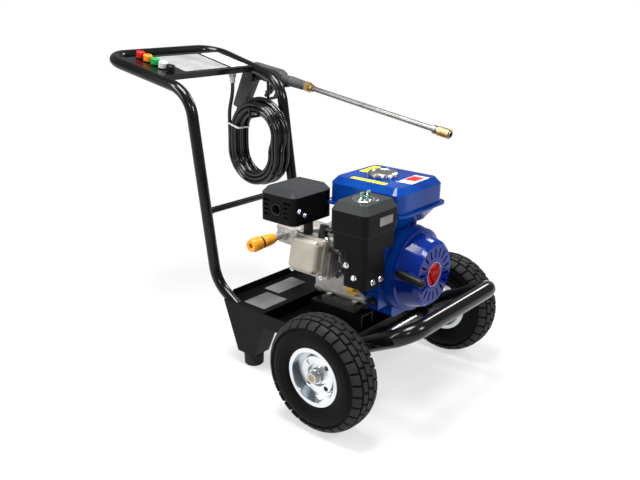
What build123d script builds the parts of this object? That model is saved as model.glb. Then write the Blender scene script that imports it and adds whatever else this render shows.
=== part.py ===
"""Petrol pressure washer on a two wheeled trolley, in millimetres.

The machine is laid out from its axle: X runs across it (+X is its left side), -Y points
forwards to the bumper, +Y back to the handle, and Z is the height over the floor. At the
end everything moves along Y, so that the origin lies on the floor under the middle.
"""
import os
from math import atan2, cos, degrees, hypot, pi, radians, sin, tan

from build123d import *

# Wheels and axle
WHEEL_RADIUS = 130.0
TYRE_WIDTH = 84.0
TYRE_WALL = 7.0
TRACK = 510.0
RIM_FLANGE_RADIUS = 66.0
RIM_WIDTH = 64.0
RIM_SHEET = 3.0
RIM_HOLE_RADIUS = 6.0
RIM_HOLES = 4
HUB_RADIUS = 17.0
HUB_INNER = 36.0
HUB_OUTER = 24.0
STUB_RADIUS = 8.0
AXLE_RADIUS = 12.0
RUNNING_GAP = 0.05
END_GAP = 0.2
AXLE_NUT_SIZE = 24.0
AXLE_NUT_HEIGHT = 9.0
WASHER_RADIUS = 15.0
WASHER_HEIGHT = 2.0

# Folded chassis tray
SHEET = 2.5
TRAY_HALF_WIDTH = 176.8
PAN_FRONT = 15.0
PAN_FLOOR = 126.0
STEP_Y = 257.0
DECK_TOP = 160.0
TRAY_REAR = 388.0
REAR_LIP = 18.0
LEG_BOTTOM = 36.0
LEG_FRONT = 284.0
LEG_REAR = 340.0
LEG_FLANGE = 25.0
LEG_SET_BACK = 10.0
FOOT_RADIUS = 25.0
FOOT_INSET = 28.0
BRACKET_X = 126.0
BRACKET_THICK = 8.0

# Handle frame tube
TUBE_RADIUS = 14.0
TUBE_WALL = 2.0
POST_X = 160.0
POST_FOOT_Y = 431.0
POST_FOOT_Z = 193.0
POST_TOP_Y = 505.4
POST_TOP_Z = 660.7
HANDLE_REAR_X = 188.0
HANDLE_REAR_Y = 804.0
HANDLE_REAR_Z = 725.0
TUBE_END_Y = 342.0
TUBE_END_Z = 140.0
FOOT_BEND = 90.0
TOP_BEND = 85.0
REAR_BEND = 60.0
CROSS_BAR_Z = 371.0
CROSS_BAR_RADIUS = 8.0
WELD_GAP = 0.3

# Front bumper tube
BUMPER_RADIUS = 19.0
BUMPER_WALL = 2.0
BUMPER_Y = -165.0
BUMPER_Z = 243.0
BUMPER_X = 182.0
BUMPER_ROOT_X = 157.0
BUMPER_BEND = 45.0
BUMPER_ROOT_Z = 144.0

# Tool panel and nozzles
PANEL_FRONT = 605.0
PANEL_REAR = 758.0
PANEL_DROP = 5.0
PANEL_SHEET = 2.0
PANEL_LIP = 15.0
NOZZLE_X = -118.0
NOZZLE_FIRST_Y = 624.0
NOZZLE_PITCH = 30.0
NOZZLE_NAMES = ("black", "white", "green", "orange", "red")
NOZZLE_PLUG_RADIUS = 5.6
NOZZLE_PLUG_LENGTH = 26.0
NOZZLE_CAP_RADIUS = 11.5
NOZZLE_CAP_HEIGHT = 15.0
GROMMET_RADIUS = 9.0
GROMMET_HEIGHT = 8.0
GROMMET_GAP = 0.35

# Engine
CRANK_X = 15.0
CRANK_Z = 300.0
CRANK_HEIGHT = 106.0
RECOIL_FACE = -97.0
RECOIL_BACK = -48.0
BLOWER_BACK = 42.0
CASE_BACK = 174.0
COVER_BACK = 188.0
BLOWER_RADIUS = 100.0
RECOIL_RADIUS = 96.0
RECOIL_FACE_RADIUS = 68.0
RECOIL_EYE_RADIUS = 25.0
COVER_SHEET = 2.0
SLOT_COUNT = 18
SHAFT_RADIUS = 12.5
PTO_RADIUS = 9.5
PTO_LENGTH = 50.0
FLYWHEEL_RADIUS = 84.0
FLYWHEEL_WIDTH = 24.0
FAN_BLADES = 16
CYLINDER_Y = 134.0
CYLINDER_TILT = 12.0
CYLINDER_BORE = 34.0
BARREL_START = 72.0
BARREL_END = 128.0
HEAD_END = 164.0
ROCKER_END = 189.0
BARREL_HALF = 47.0
ROCKER_HALF = 38.0
PISTON_HEIGHT = 36.0
PISTON_GAP = 0.05
STROKE = 54.0
BASE_Y = 100.0
BASE_SPACING_X = 162.0
BASE_SPACING_Y = 75.5
BASE_PLATE = 14.0
BOLT_RADIUS = 4.0
RAIL_WIDTH = 42.0
RAIL_WALL = 3.0

# Fuel tank
TANK_X = 20.0
TANK_Y = 46.5
TANK_WIDTH = 180.0
TANK_LENGTH = 199.0
TANK_TOP = 500.0
TANK_SEAM = 441.0
TANK_BOTTOM = 404.0
TANK_WALL = 2.0
TANK_FLANGE = 9.0
TANK_ROUND = 26.0
NECK_X = 11.0
NECK_Y = 51.0
NECK_RADIUS = 24.0
NECK_HEIGHT = 6.0
CAP_RADIUS = 34.0
CAP_HEIGHT = 11.0
CAP_SCALLOPS = 8
CAP_SCALLOP_RADIUS = 4.0

# Muffler and air cleaner
MUFFLER_NEAR = -185.0
MUFFLER_DEPTH = 133.0
MUFFLER_FRONT = 144.0
MUFFLER_REAR = 249.0
MUFFLER_BOTTOM = 404.0
GUARD_TOP = 482.0
GUARD_SHEET = 2.0
GUARD_BEVEL = 14.0
OUTLET_RADIUS = 15.0
CLEANER_NEAR = -191.0
CLEANER_DEPTH = 117.0
CLEANER_FRONT = -55.0
CLEANER_REAR = 40.0
CLEANER_BOTTOM = 384.0
CLEANER_SEAM = 424.0
CLEANER_LID = 470.0
CLEANER_TOP = 488.0
CLEANER_BEVEL = 10.0
CLEANER_WALL = 2.5
CLEANER_ROUND = 12.0

# Pump
PUMP_RADIUS = 47.0
PUMP_FLANGE = 12.0
PUMP_BODY_END = 268.0
PUMP_HEAD_END = 342.0
PUMP_HEAD_HALF = 44.0
PUMP_HEAD_HEIGHT = 54.0
INLET_Y = 318.0
INLET_Z = 311.0
INLET_RADIUS = 9.0
CONNECTOR_RADIUS = 17.0
CONNECTOR_LENGTH = 82.0
OUTLET_THREAD_RADIUS = 11.0
OUTLET_THREAD_LENGTH = 16.0
KNOB_RADIUS = 17.0

# Gun and lance
LANCE_X = 206.0
LANCE_Y = 441.5
LANCE_Z = 644.5
LANCE_SLOPE = 9.0
LANCE_RADIUS = 6.75
LANCE_LENGTH = 450.0
LANCE_NUT_RADIUS = 12.0
COLLAR_RADIUS = 11.8
COLLAR_LENGTH = 34.0
COLLAR_TRAVEL = 6.0
GUN_HALF_WIDTH = 15.0
GUN_HALF_HEIGHT = 20.0
GUN_FRONT = -70.0
GUN_REAR = -236.0

# Hose
HOSE_RADIUS = 5.2
HOSE_PITCH = 11.3
HOSE_TURNS = 4
HOSE_LAYERS = 4
COIL_X = 118.0
COIL_Y = 552.0
COIL_Z = 492.0
COIL_INNER = 60.8
COIL_RUN = 44.0
HOOK_RADIUS = 4.0
FITTING_RADIUS = 9.0
FITTING_LENGTH = 34.0

AXLE_Z = WHEEL_RADIUS
FRONT_REACH = BUMPER_RADIUS - BUMPER_Y
REAR_REACH = HANDLE_REAR_Y + TUBE_RADIUS
AXLE_Y = (FRONT_REACH - REAR_REACH) / 2
BASE_Z = CRANK_Z - CRANK_HEIGHT
HANDLE_RISE = (HANDLE_REAR_Z - POST_TOP_Z) / (HANDLE_REAR_Y - POST_TOP_Y)
HANDLE_ANGLE = degrees(atan2(HANDLE_REAR_Z - POST_TOP_Z, HANDLE_REAR_Y - POST_TOP_Y))
POST_LEAN = (POST_TOP_Y - POST_FOOT_Y) / (POST_TOP_Z - POST_FOOT_Z)

pieces = {}


def box(x0, x1, y0, y1, z0, z1):
    """A block between two corners."""
    return Pos((x0 + x1) / 2, (y0 + y1) / 2, (z0 + z1) / 2) * Box(x1 - x0, y1 - y0, z1 - z0)


def rounded_box(x0, x1, y0, y1, z0, z1, radius):
    """A block with its upright edges rounded."""
    block = box(x0, x1, y0, y1, z0, z1)
    return fillet(block.edges().filter_by(Axis.Z), radius)


def rod(start, end, radius):
    """A round bar from one point to another."""
    axis = Vector(*end) - Vector(*start)
    bar = Cylinder(radius, axis.length, align=(Align.CENTER, Align.CENTER, Align.MIN))
    return Plane(origin=start, z_dir=axis).location * bar


def sleeve(start, end, outer, inner):
    """A round tube from one point to another."""
    return rod(start, end, outer) - rod(start, end, inner)


def bent_tube(points, bends, outer, inner=None):
    """A tube along straight runs joined by bends, solid if it has no inner radius."""
    path = FilletPolyline(*points, radius=bends)
    section = Circle(outer) if inner is None else Circle(outer) - Circle(inner)
    return sweep(Plane(origin=path @ 0, z_dir=path % 0) * section, path=path)


def outline(points):
    """A flat face inside a closed run of straight edges."""
    return make_face(Polyline(*points, close=True))


def side_plate(points, x0, x1):
    """A plate across X with an outline given as Y and Z."""
    face = outline([(x0, y, z) for y, z in points])
    return extrude(face, amount=x1 - x0, dir=(1, 0, 0))


def lathe_y(points, x, z):
    """A body turned about a line along Y, from points of radius and Y."""
    return Pos(x, 0, z) * revolve(outline([(r, y, 0) for r, y in points]), axis=Axis.Y)


def lathe_x(points, x, sign, z):
    """A body turned about a line along X, from points of outboard distance and radius."""
    face = outline([(x + sign * out, r, 0) for out, r in points])
    return Pos(0, 0, z) * revolve(face, axis=Axis.X)


def lathe_z(points, x, y):
    """A body turned about an upright line, from points of radius and height."""
    return Pos(x, y, 0) * revolve(outline([(r, 0, z) for r, z in points]), axis=Axis.Z)


def hexagon(start, end, across):
    """A six sided bar from one point to another, by its size across the flats."""
    axis = Vector(*end) - Vector(*start)
    face = Plane(origin=start, z_dir=axis).location * RegularPolygon(across / 2, 6, major_radius=False)
    return extrude(face, amount=axis.length, dir=axis)


def handle_z(y):
    """Height of the handle's side tube axis at a given Y."""
    return POST_TOP_Z + HANDLE_RISE * (y - POST_TOP_Y)


def tube_x(y):
    """Distance of the handle's side tube axis from the middle at a given Y."""
    return POST_X + (HANDLE_REAR_X - POST_X) * (y - POST_TOP_Y) / (HANDLE_REAR_Y - POST_TOP_Y)


def post_y(z):
    """Y of the post's axis at a given height."""
    return POST_FOOT_Y + POST_LEAN * (z - POST_FOOT_Z)


# Tyres and rims: a hollow tyre on a pressed rim whose hub runs on the axle's stub
def make_wheel(side, sign):
    x = sign * TRACK / 2
    half = TYRE_WIDTH / 2
    bead = RIM_WIDTH / 2 - RIM_SHEET
    bead_radius = RIM_FLANGE_RADIUS - 6
    crown = WHEEL_RADIUS
    shell = [(-bead, bead_radius), (-bead, RIM_FLANGE_RADIUS), (-half + 4, RIM_FLANGE_RADIUS + 6)]
    shell += [(-half, 100), (-half + 4, 117)]
    shell += [(-half + 12, crown - 4), (-10, crown), (10, crown)]
    shell += [(half - 12, crown - 4), (half - 4, 117), (half, 100), (half - 4, RIM_FLANGE_RADIUS + 6)]
    shell += [(bead, RIM_FLANGE_RADIUS), (bead, bead_radius)]
    air = [(bead - TYRE_WALL, bead_radius), (half - TYRE_WALL, 84), (half - TYRE_WALL, 102)]
    air += [(half - 14, crown - 12), (-half + 14, crown - 12)]
    air += [(-half + TYRE_WALL, 102), (-half + TYRE_WALL, 84), (-bead + TYRE_WALL, bead_radius)]
    pieces[f"{side}_tyre"] = lathe_x(shell + air, x, sign, AXLE_Z)

    lip = RIM_WIDTH / 2
    well = bead_radius - RIM_SHEET
    bore = STUB_RADIUS + RUNNING_GAP
    barrel = [(-lip, well), (lip, well), (lip, RIM_FLANGE_RADIUS), (lip - RIM_SHEET, RIM_FLANGE_RADIUS)]
    barrel += [(lip - RIM_SHEET, bead_radius), (-lip + RIM_SHEET, bead_radius)]
    barrel += [(-lip + RIM_SHEET, RIM_FLANGE_RADIUS), (-lip, RIM_FLANGE_RADIUS)]
    face = [(8, HUB_RADIUS - 2), (8, 23), (16, 26), (16, 42), (-2, 49), (-2, well + 1)]
    disc = face + [(x - RIM_SHEET, r) for x, r in reversed(face)]
    hub = [(-HUB_INNER, bore), (HUB_OUTER, bore), (HUB_OUTER, HUB_RADIUS), (-HUB_INNER, HUB_RADIUS)]
    rim = lathe_x(barrel, x, sign, AXLE_Z) + lathe_x(disc, x, sign, AXLE_Z)
    for i in range(RIM_HOLES):
        angle = 2 * pi * (i + 0.5) / RIM_HOLES
        y = 34 * cos(angle)
        z = AXLE_Z + 34 * sin(angle)
        rim -= rod((x - lip, y, z), (x + lip, y, z), RIM_HOLE_RADIUS)
    pieces[f"{side}_rim"] = rim + lathe_x(hub, x, sign, AXLE_Z)


make_wheel("left", 1)
make_wheel("right", -1)

# Axle: a thick bar with a stub at each end, a washer and a nut outside each hub
shoulder = TRACK / 2 - HUB_INNER - END_GAP
hub_face = TRACK / 2 + HUB_OUTER + END_GAP
stub_end = hub_face + WASHER_HEIGHT + AXLE_NUT_HEIGHT
axle = rod((-stub_end, 0, AXLE_Z), (stub_end, 0, AXLE_Z), STUB_RADIUS)
pieces["axle"] = axle + rod((-shoulder, 0, AXLE_Z), (shoulder, 0, AXLE_Z), AXLE_RADIUS)

# Chassis tray: a low pan under the engine, a deck behind it, two tapered legs and the axle brackets
inner = TRAY_HALF_WIDTH - SHEET
side_outline = [(PAN_FRONT, DECK_TOP + 2), (TRAY_REAR, DECK_TOP + 2), (LEG_REAR, LEG_BOTTOM)]
side_outline += [(LEG_FRONT, LEG_BOTTOM), (STEP_Y - LEG_SET_BACK, PAN_FLOOR), (PAN_FRONT, PAN_FLOOR)]
lean = (TRAY_REAR - LEG_REAR) / (DECK_TOP + 2 - LEG_BOTTOM)
flange_outline = [(LEG_REAR, LEG_BOTTOM), (TRAY_REAR - lean * 2, DECK_TOP)]
flange_outline += [(TRAY_REAR - lean * 2 - SHEET, DECK_TOP), (LEG_REAR - SHEET, LEG_BOTTOM)]
front_outline = [(LEG_FRONT, LEG_BOTTOM), (STEP_Y - LEG_SET_BACK, PAN_FLOOR)]
front_outline += [(STEP_Y - LEG_SET_BACK + SHEET, PAN_FLOOR), (LEG_FRONT + SHEET, LEG_BOTTOM)]
tray = box(-inner, inner, PAN_FRONT, STEP_Y, PAN_FLOOR, PAN_FLOOR + SHEET)
tray += box(-inner, inner, PAN_FRONT, PAN_FRONT + SHEET, PAN_FLOOR, DECK_TOP + 2)
tray += box(-inner, inner, STEP_Y - SHEET, STEP_Y, PAN_FLOOR, DECK_TOP)
tray += box(-inner, inner, STEP_Y - SHEET, TRAY_REAR - lean * 2, DECK_TOP - SHEET, DECK_TOP)
lip_half = POST_X - TUBE_RADIUS
lip_rear = TRAY_REAR - lean * 2
tray += box(-lip_half, lip_half, lip_rear - SHEET, lip_rear, DECK_TOP - SHEET, DECK_TOP + REAR_LIP)
foot_y = (LEG_FRONT + LEG_REAR) / 2
for sign in (-1, 1):
    low, high = sorted((sign * inner, sign * TRAY_HALF_WIDTH))
    tray += side_plate(side_outline, low, high)
    low, high = sorted((sign * inner, sign * (inner - LEG_FLANGE)))
    tray += side_plate(flange_outline, low, high)
    low, high = sorted((sign * inner, sign * (inner - 2 * FOOT_RADIUS)))
    tray += box(low, high, LEG_FRONT, LEG_REAR - SHEET / 2, LEG_BOTTOM, LEG_BOTTOM + SHEET)
    tray += side_plate(front_outline, low, high)
    x = sign * BRACKET_X
    bracket = box(x - BRACKET_THICK / 2, x + BRACKET_THICK / 2, -20, PAN_FRONT, AXLE_Z - 20, DECK_TOP)
    tray += bracket - rod((x - 10, 0, AXLE_Z), (x + 10, 0, AXLE_Z), AXLE_RADIUS + RUNNING_GAP)

# Handle frame: one tube bent from the tray up the posts and round the top, with a cross bar welded in
half_route = [(TUBE_END_Y, TUBE_END_Z), (POST_FOOT_Y, POST_FOOT_Z), (POST_TOP_Y, POST_TOP_Z)]
half_route += [(HANDLE_REAR_Y, HANDLE_REAR_Z)]
half_x = [POST_X, POST_X, POST_X, HANDLE_REAR_X]
route = [(-x, y, z) for x, (y, z) in zip(half_x, half_route)]
route += [(-x, y, z) for x, y, z in reversed(route)]
bends = [FOOT_BEND, TOP_BEND, REAR_BEND, REAR_BEND, TOP_BEND, FOOT_BEND]
handle_envelope = bent_tube(route, bends, TUBE_RADIUS)
cross_y = post_y(CROSS_BAR_Z)
cross_bar = rod((-POST_X, cross_y, CROSS_BAR_Z), (POST_X, cross_y, CROSS_BAR_Z), CROSS_BAR_RADIUS)
handle = bent_tube(route, bends, TUBE_RADIUS, TUBE_RADIUS - TUBE_WALL)
pieces["handle_frame"] = handle + (cross_bar - handle_envelope)
tube_room = bent_tube(route, bends, TUBE_RADIUS + WELD_GAP)
pieces["chassis_tray"] = tray - tube_room

# Rubber feet under the two legs
feet = []
for sign in (-1, 1):
    profile = [(0, 0), (FOOT_RADIUS - 4, 0), (FOOT_RADIUS - 1, 3), (FOOT_RADIUS, LEG_BOTTOM - 8)]
    profile += [(FOOT_RADIUS - 2, LEG_BOTTOM), (0, LEG_BOTTOM)]
    feet.append(lathe_z(profile, sign * (TRAY_HALF_WIDTH - FOOT_INSET), foot_y))
pieces["rear_feet"] = Compound(children=feet)

# Front bumper: a bent tube that rises forwards from the pan's front corners
root_y = PAN_FRONT - WELD_GAP
bumper_route = [(-BUMPER_ROOT_X, root_y, BUMPER_ROOT_Z), (-BUMPER_X, BUMPER_Y, BUMPER_Z)]
bumper_route += [(BUMPER_X, BUMPER_Y, BUMPER_Z), (BUMPER_ROOT_X, root_y, BUMPER_ROOT_Z)]
bumper = bent_tube(bumper_route, BUMPER_BEND, BUMPER_RADIUS, BUMPER_RADIUS - BUMPER_WALL)
bumper -= box(-TRACK, TRACK, PAN_FRONT - WELD_GAP, PAN_FRONT + 80, 0, CRANK_Z)
axle_room = AXLE_RADIUS + WELD_GAP
pieces["front_bumper"] = bumper - rod((-TRACK, 0, AXLE_Z), (TRACK, 0, AXLE_Z), axle_room)

# Tool panel: a sheet between the side tubes, parallel to them, with a folded front lip
panel_frame = Plane(
    origin=(0, PANEL_FRONT, handle_z(PANEL_FRONT) + (TUBE_RADIUS - PANEL_DROP) / cos(radians(HANDLE_ANGLE))),
    x_dir=(1, 0, 0),
    z_dir=(0, -sin(radians(HANDLE_ANGLE)), cos(radians(HANDLE_ANGLE))),
).location
panel_length = (PANEL_REAR - PANEL_FRONT) / cos(radians(HANDLE_ANGLE))
panel_front_half = tube_x(PANEL_FRONT) - TUBE_RADIUS - 2 * WELD_GAP
panel_rear_half = tube_x(PANEL_REAR) - TUBE_RADIUS - 2 * WELD_GAP


def panel_sheet(inset, y0, y1, depth):
    """A flat piece of the panel's outline, from y0 to y1 along it, with its top in the panel's plane."""
    spread = (panel_rear_half - panel_front_half) / panel_length
    half0 = panel_front_half + spread * y0 - inset
    half1 = panel_front_half + spread * y1 - inset
    points = [(-half0, y0, -depth), (half0, y0, -depth), (half1, y1, -depth), (-half1, y1, -depth)]
    return extrude(outline(points), amount=depth, dir=(0, 0, 1))


panel = panel_sheet(0, 0, panel_length, PANEL_LIP)
panel_room = panel_sheet(PANEL_SHEET, PANEL_SHEET, panel_length - PANEL_SHEET, PANEL_LIP)
panel -= Pos(0, 0, -PANEL_SHEET) * panel_room
nozzle_rows = []
for i in range(len(NOZZLE_NAMES)):
    nozzle_rows.append((NOZZLE_FIRST_Y + i * NOZZLE_PITCH - PANEL_FRONT) / cos(radians(HANDLE_ANGLE)))
grommets = []
neck = GROMMET_RADIUS - 2
for row in nozzle_rows:
    panel -= rod((NOZZLE_X, row, -PANEL_SHEET - 1), (NOZZLE_X, row, 1), neck)
    grommet = rod((NOZZLE_X, row, -PANEL_SHEET - 2.5), (NOZZLE_X, row, 2.5), GROMMET_RADIUS)
    grommet -= box(NOZZLE_X - 20, NOZZLE_X + 20, row - 20, row + 20, -PANEL_SHEET, 0)
    grommet += rod((NOZZLE_X, row, -PANEL_SHEET), (NOZZLE_X, row, 0), neck)
    bore = NOZZLE_PLUG_RADIUS + GROMMET_GAP
    grommets.append(grommet - rod((NOZZLE_X, row, -20), (NOZZLE_X, row, 20), bore))
pieces["tool_panel"] = panel_frame * panel - tube_room
pieces["nozzle_grommets"] = Compound(children=[panel_frame * g for g in grommets])

# Nozzles: a coloured collar on a steel quick plug, pushed down into its grommet
for name, row in zip(NOZZLE_NAMES, nozzle_rows):
    seat = 2.5 + GROMMET_GAP
    cap = rod((NOZZLE_X, row, seat), (NOZZLE_X, row, seat + NOZZLE_CAP_HEIGHT), NOZZLE_CAP_RADIUS)
    cap = chamfer(cap.edges().sort_by(Axis.Z)[-1], 2)
    cap -= rod((NOZZLE_X, row, seat + NOZZLE_CAP_HEIGHT - 4), (NOZZLE_X, row, seat + 40), 3)
    plug = rod((NOZZLE_X, row, seat - NOZZLE_PLUG_LENGTH), (NOZZLE_X, row, seat), NOZZLE_PLUG_RADIUS)
    groove = sleeve((NOZZLE_X, row, -18), (NOZZLE_X, row, -14), 9, NOZZLE_PLUG_RADIUS - 1)
    pieces[f"nozzle_{name}"] = panel_frame * (cap + plug - groove)

# Engine rails: two open channels on the pan that carry the engine's base
rail_front = BASE_Y - BASE_SPACING_Y
rail_rear = BASE_Y + 40 + BASE_SPACING_Y / 2
base_y = BASE_Y
bolt_spots = []
rails = []
for sign_x in (-1, 1):
    x = CRANK_X + sign_x * BASE_SPACING_X / 2
    rail_low = PAN_FLOOR + SHEET + RUNNING_GAP
    rail = box(x - RAIL_WIDTH / 2, x + RAIL_WIDTH / 2, rail_front, rail_rear, rail_low, BASE_Z)
    hollow = RAIL_WIDTH / 2 - RAIL_WALL
    rail -= box(x - hollow, x + hollow, rail_front - 1, rail_rear + 1, PAN_FLOOR, BASE_Z - RAIL_WALL)
    for sign_y in (-1, 1):
        y = base_y + sign_y * BASE_SPACING_Y / 2
        bolt_spots.append((x, y))
        rail -= rod((x, y, BASE_Z - 10), (x, y, BASE_Z + 1), BOLT_RADIUS + RUNNING_GAP)
    rails.append(rail)
pieces["engine_rails"] = Compound(children=rails)

# Crankcase: a hollow casting with a base plate, and a finned barrel that leans out to the right side
tilt = radians(CYLINDER_TILT)
barrel_frame = Plane(
    origin=(CRANK_X, CYLINDER_Y, CRANK_Z), x_dir=(0, 1, 0), z_dir=(-cos(tilt), 0, sin(tilt))
).location
case_half = 72.0
case = box(CRANK_X - case_half, CRANK_X + case_half, BLOWER_BACK, CASE_BACK, BASE_Z, CRANK_Z + 66)
case = fillet(case.edges().filter_by(Axis.Y), 22)
foot_half = BASE_SPACING_X / 2 + 17
base = rounded_box(
    CRANK_X - foot_half, CRANK_X + foot_half, base_y - 55, base_y + 52, BASE_Z, BASE_Z + BASE_PLATE, 8
)
barrel = Box(BARREL_HALF * 2 - 16, BARREL_HALF * 2 - 16, BARREL_END - 40)
barrel = Pos(0, 0, (BARREL_END + 40) / 2) * barrel
fin_pitch = 10.0
fin_count = int((BARREL_END - BARREL_START) / fin_pitch)
for i in range(fin_count):
    z = BARREL_END - fin_pitch * (i + 0.5)
    barrel += Pos(0, 0, z) * Box(BARREL_HALF * 2, BARREL_HALF * 2, 3.5)
cavity_half = case_half - 10
cavity = box(
    CRANK_X - cavity_half, CRANK_X + cavity_half,
    BLOWER_BACK + 16, CASE_BACK + 1, BASE_Z + 12, CRANK_Z + 56,
)
bore = Pos(0, 0, BARREL_END / 2) * Cylinder(CYLINDER_BORE, BARREL_END + 2)
crankcase = case + base + barrel_frame * barrel - cavity - barrel_frame * bore
crankcase -= rod((CRANK_X, 0, CRANK_Z), (CRANK_X, CASE_BACK, CRANK_Z), SHAFT_RADIUS + RUNNING_GAP)
for x, y in bolt_spots:
    crankcase -= rod((x, y, BASE_Z - 1), (x, y, BASE_Z + BASE_PLATE + 1), BOLT_RADIUS + RUNNING_GAP)
filler_start = Vector(CRANK_X - case_half + 4, BLOWER_BACK + 18, BASE_Z + 42)
filler_axis = Vector(-cos(radians(25)), 0, sin(radians(25)))
filler_mouth = filler_start + filler_axis * 22
crankcase += rod(tuple(filler_start), tuple(filler_mouth), 13)
crankcase -= rod(tuple(filler_start - filler_axis * 12), tuple(filler_mouth + filler_axis), 8 + RUNNING_GAP)
pieces["crankcase"] = crankcase

# Crankcase cover with the bearing boss at the drive end
cover = box(CRANK_X - case_half, CRANK_X + case_half, CASE_BACK, COVER_BACK, BASE_Z + 2, CRANK_Z + 66)
cover = fillet(cover.edges().filter_by(Axis.Y), 22)
cover_bore = SHAFT_RADIUS + RUNNING_GAP
cover -= rod((CRANK_X, CASE_BACK - 1, CRANK_Z), (CRANK_X, COVER_BACK + 1, CRANK_Z), cover_bore)
pieces["crankcase_cover"] = cover

# Piston in its bore
piston_top = BARREL_END - 4 - STROKE / 2
piston = Pos(0, 0, piston_top - PISTON_HEIGHT / 2) * Cylinder(CYLINDER_BORE - PISTON_GAP, PISTON_HEIGHT)
piston -= Pos(0, 0, piston_top - PISTON_HEIGHT / 2 - 8) * Cylinder(CYLINDER_BORE - 6, PISTON_HEIGHT)
pieces["piston"] = barrel_frame * piston

# Cylinder head with fins, rocker cover on its end, spark plug on its upper side
head = Box(BARREL_HALF * 2 - 10, BARREL_HALF * 2 - 10, HEAD_END - BARREL_END)
head = Pos(0, 0, (BARREL_END + HEAD_END) / 2) * head
for i in range(2):
    z = BARREL_END + 8 + i * fin_pitch
    head += Pos(0, 0, z) * Box(BARREL_HALF * 2 + 4, BARREL_HALF * 2 + 4, 3.5)
plug_spot = Vector(-22, 0, (BARREL_END + HEAD_END) / 2 + 6)
head_half = BARREL_HALF - 5
plug_root = (plug_spot.X, -head_half + 18, plug_spot.Z)
plug_seat = (plug_spot.X, -head_half, plug_spot.Z)
plug_top = (plug_spot.X, -head_half - 30, plug_spot.Z)
head -= rod(plug_root, plug_seat, 7)
head -= rod(plug_seat, plug_top, 14)
pieces["cylinder_head"] = barrel_frame * head
rocker = Box(BARREL_HALF * 2 - 14, 2 * ROCKER_HALF, ROCKER_END - HEAD_END)
rocker = Pos(0, 0, (HEAD_END + ROCKER_END) / 2) * rocker
rocker = fillet(rocker.edges().filter_by(Axis.Z), 14)
rocker = fillet(rocker.edges().group_by(Axis.Z)[-1], 9)
rim_plate = Pos(0, 0, HEAD_END + 2.5) * Box(BARREL_HALF * 2 - 2, 2 * ROCKER_HALF + 8, 5)
rocker += fillet(rim_plate.edges().filter_by(Axis.Z), 12)
rocker_room = Box(BARREL_HALF * 2 - 22, 2 * ROCKER_HALF - 8, ROCKER_END - HEAD_END - 1)
rocker -= Pos(0, 0, (HEAD_END + ROCKER_END) / 2 - 2) * rocker_room
for sx in (-1, 1):
    for sy in (-1, 1):
        spot = (sx * (BARREL_HALF - 9), sy * (ROCKER_HALF - 5))
        rocker += hexagon((*spot, HEAD_END + 5), (*spot, HEAD_END + 11), 10)
pieces["rocker_cover"] = barrel_frame * rocker
plug_hex = (plug_spot.X, -head_half - 9, plug_spot.Z)
plug = rod((plug_spot.X, -head_half + 16, plug_spot.Z), plug_seat, 6.9)
plug += hexagon(plug_seat, plug_hex, 20) + rod(plug_hex, plug_top, 10)
plug += rod((plug_spot.X, -head_half - 22, plug_spot.Z), (plug_spot.X - 26, -head_half - 22, plug_spot.Z), 6)
pieces["spark_plug"] = barrel_frame * plug

# Crankshaft: a shaft through the case with two webs, a flywheel taper in front and the drive stub behind
pto_end = COVER_BACK + PTO_LENGTH
fly_back = BLOWER_BACK - 6
fly_front = fly_back - FLYWHEEL_WIDTH
shaft = rod((CRANK_X, fly_back, CRANK_Z), (CRANK_X, COVER_BACK - 1, CRANK_Z), SHAFT_RADIUS)
shaft += rod((CRANK_X, COVER_BACK - 2, CRANK_Z), (CRANK_X, pto_end, CRANK_Z), PTO_RADIUS)
shaft += rod((CRANK_X, fly_front - 14, CRANK_Z), (CRANK_X, fly_back + 1, CRANK_Z), PTO_RADIUS)
web_gap = 11.0
web_radius = 30.0
for sign in (-1, 1):
    y = CYLINDER_Y - 10 + sign * (web_gap + 6)
    shaft += rod((CRANK_X, y - 6, CRANK_Z), (CRANK_X, y + 6, CRANK_Z), web_radius)
pieces["crankshaft"] = shaft

# Flywheel with fan blades on its front face
bore = PTO_RADIUS
flywheel = lathe_y(
    [(bore, fly_front - 8), (24, fly_front - 8), (24, fly_front + 6), (FLYWHEEL_RADIUS - 14, fly_front + 6),
     (FLYWHEEL_RADIUS - 14, fly_front), (FLYWHEEL_RADIUS, fly_front),
     (FLYWHEEL_RADIUS, fly_back), (bore, fly_back)],
    CRANK_X, CRANK_Z,
)
for i in range(FAN_BLADES):
    blade = Pos(FLYWHEEL_RADIUS - 18, fly_front - 8, 0) * Box(26, 20, 3)
    flywheel += Pos(CRANK_X, 0, CRANK_Z) * Rot(0, 360 * i / FAN_BLADES, 0) * blade
pieces["flywheel"] = flywheel

# Blower housing: a blue scroll round the flywheel, with a duct towards the barrel and a skirt below
shell = BLOWER_RADIUS
wall = COVER_SHEET
scroll = [(0, RECOIL_BACK), (RECOIL_RADIUS, RECOIL_BACK), (shell, RECOIL_BACK + 18), (shell, BLOWER_BACK)]
blower = lathe_y(scroll + [(0, BLOWER_BACK)], CRANK_X, CRANK_Z)
duct_near = CRANK_X - shell - 13
duct_front = RECOIL_BACK + 22
duct = box(duct_near, CRANK_X, duct_front, BLOWER_BACK, CRANK_Z - 36, CLEANER_BOTTOM - 4)
blower += fillet(duct.edges().filter_by(Axis.Y), 14)
skirt_half = BASE_SPACING_X / 2 - RAIL_WIDTH / 2 - 3
skirt = box(CRANK_X - skirt_half, CRANK_X + skirt_half, duct_front, BLOWER_BACK, BASE_Z - 4, CRANK_Z)
blower += fillet(skirt.edges().filter_by(Axis.Y), 12)
switch_y = RECOIL_BACK + 40
switch_z = CRANK_Z - 54
switch_face = CRANK_X - shell - 7
blower += box(switch_face, CRANK_X - 60, switch_y - 15, switch_y + 15, switch_z - 19, switch_z + 19)
fan_room = shell - 3
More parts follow.
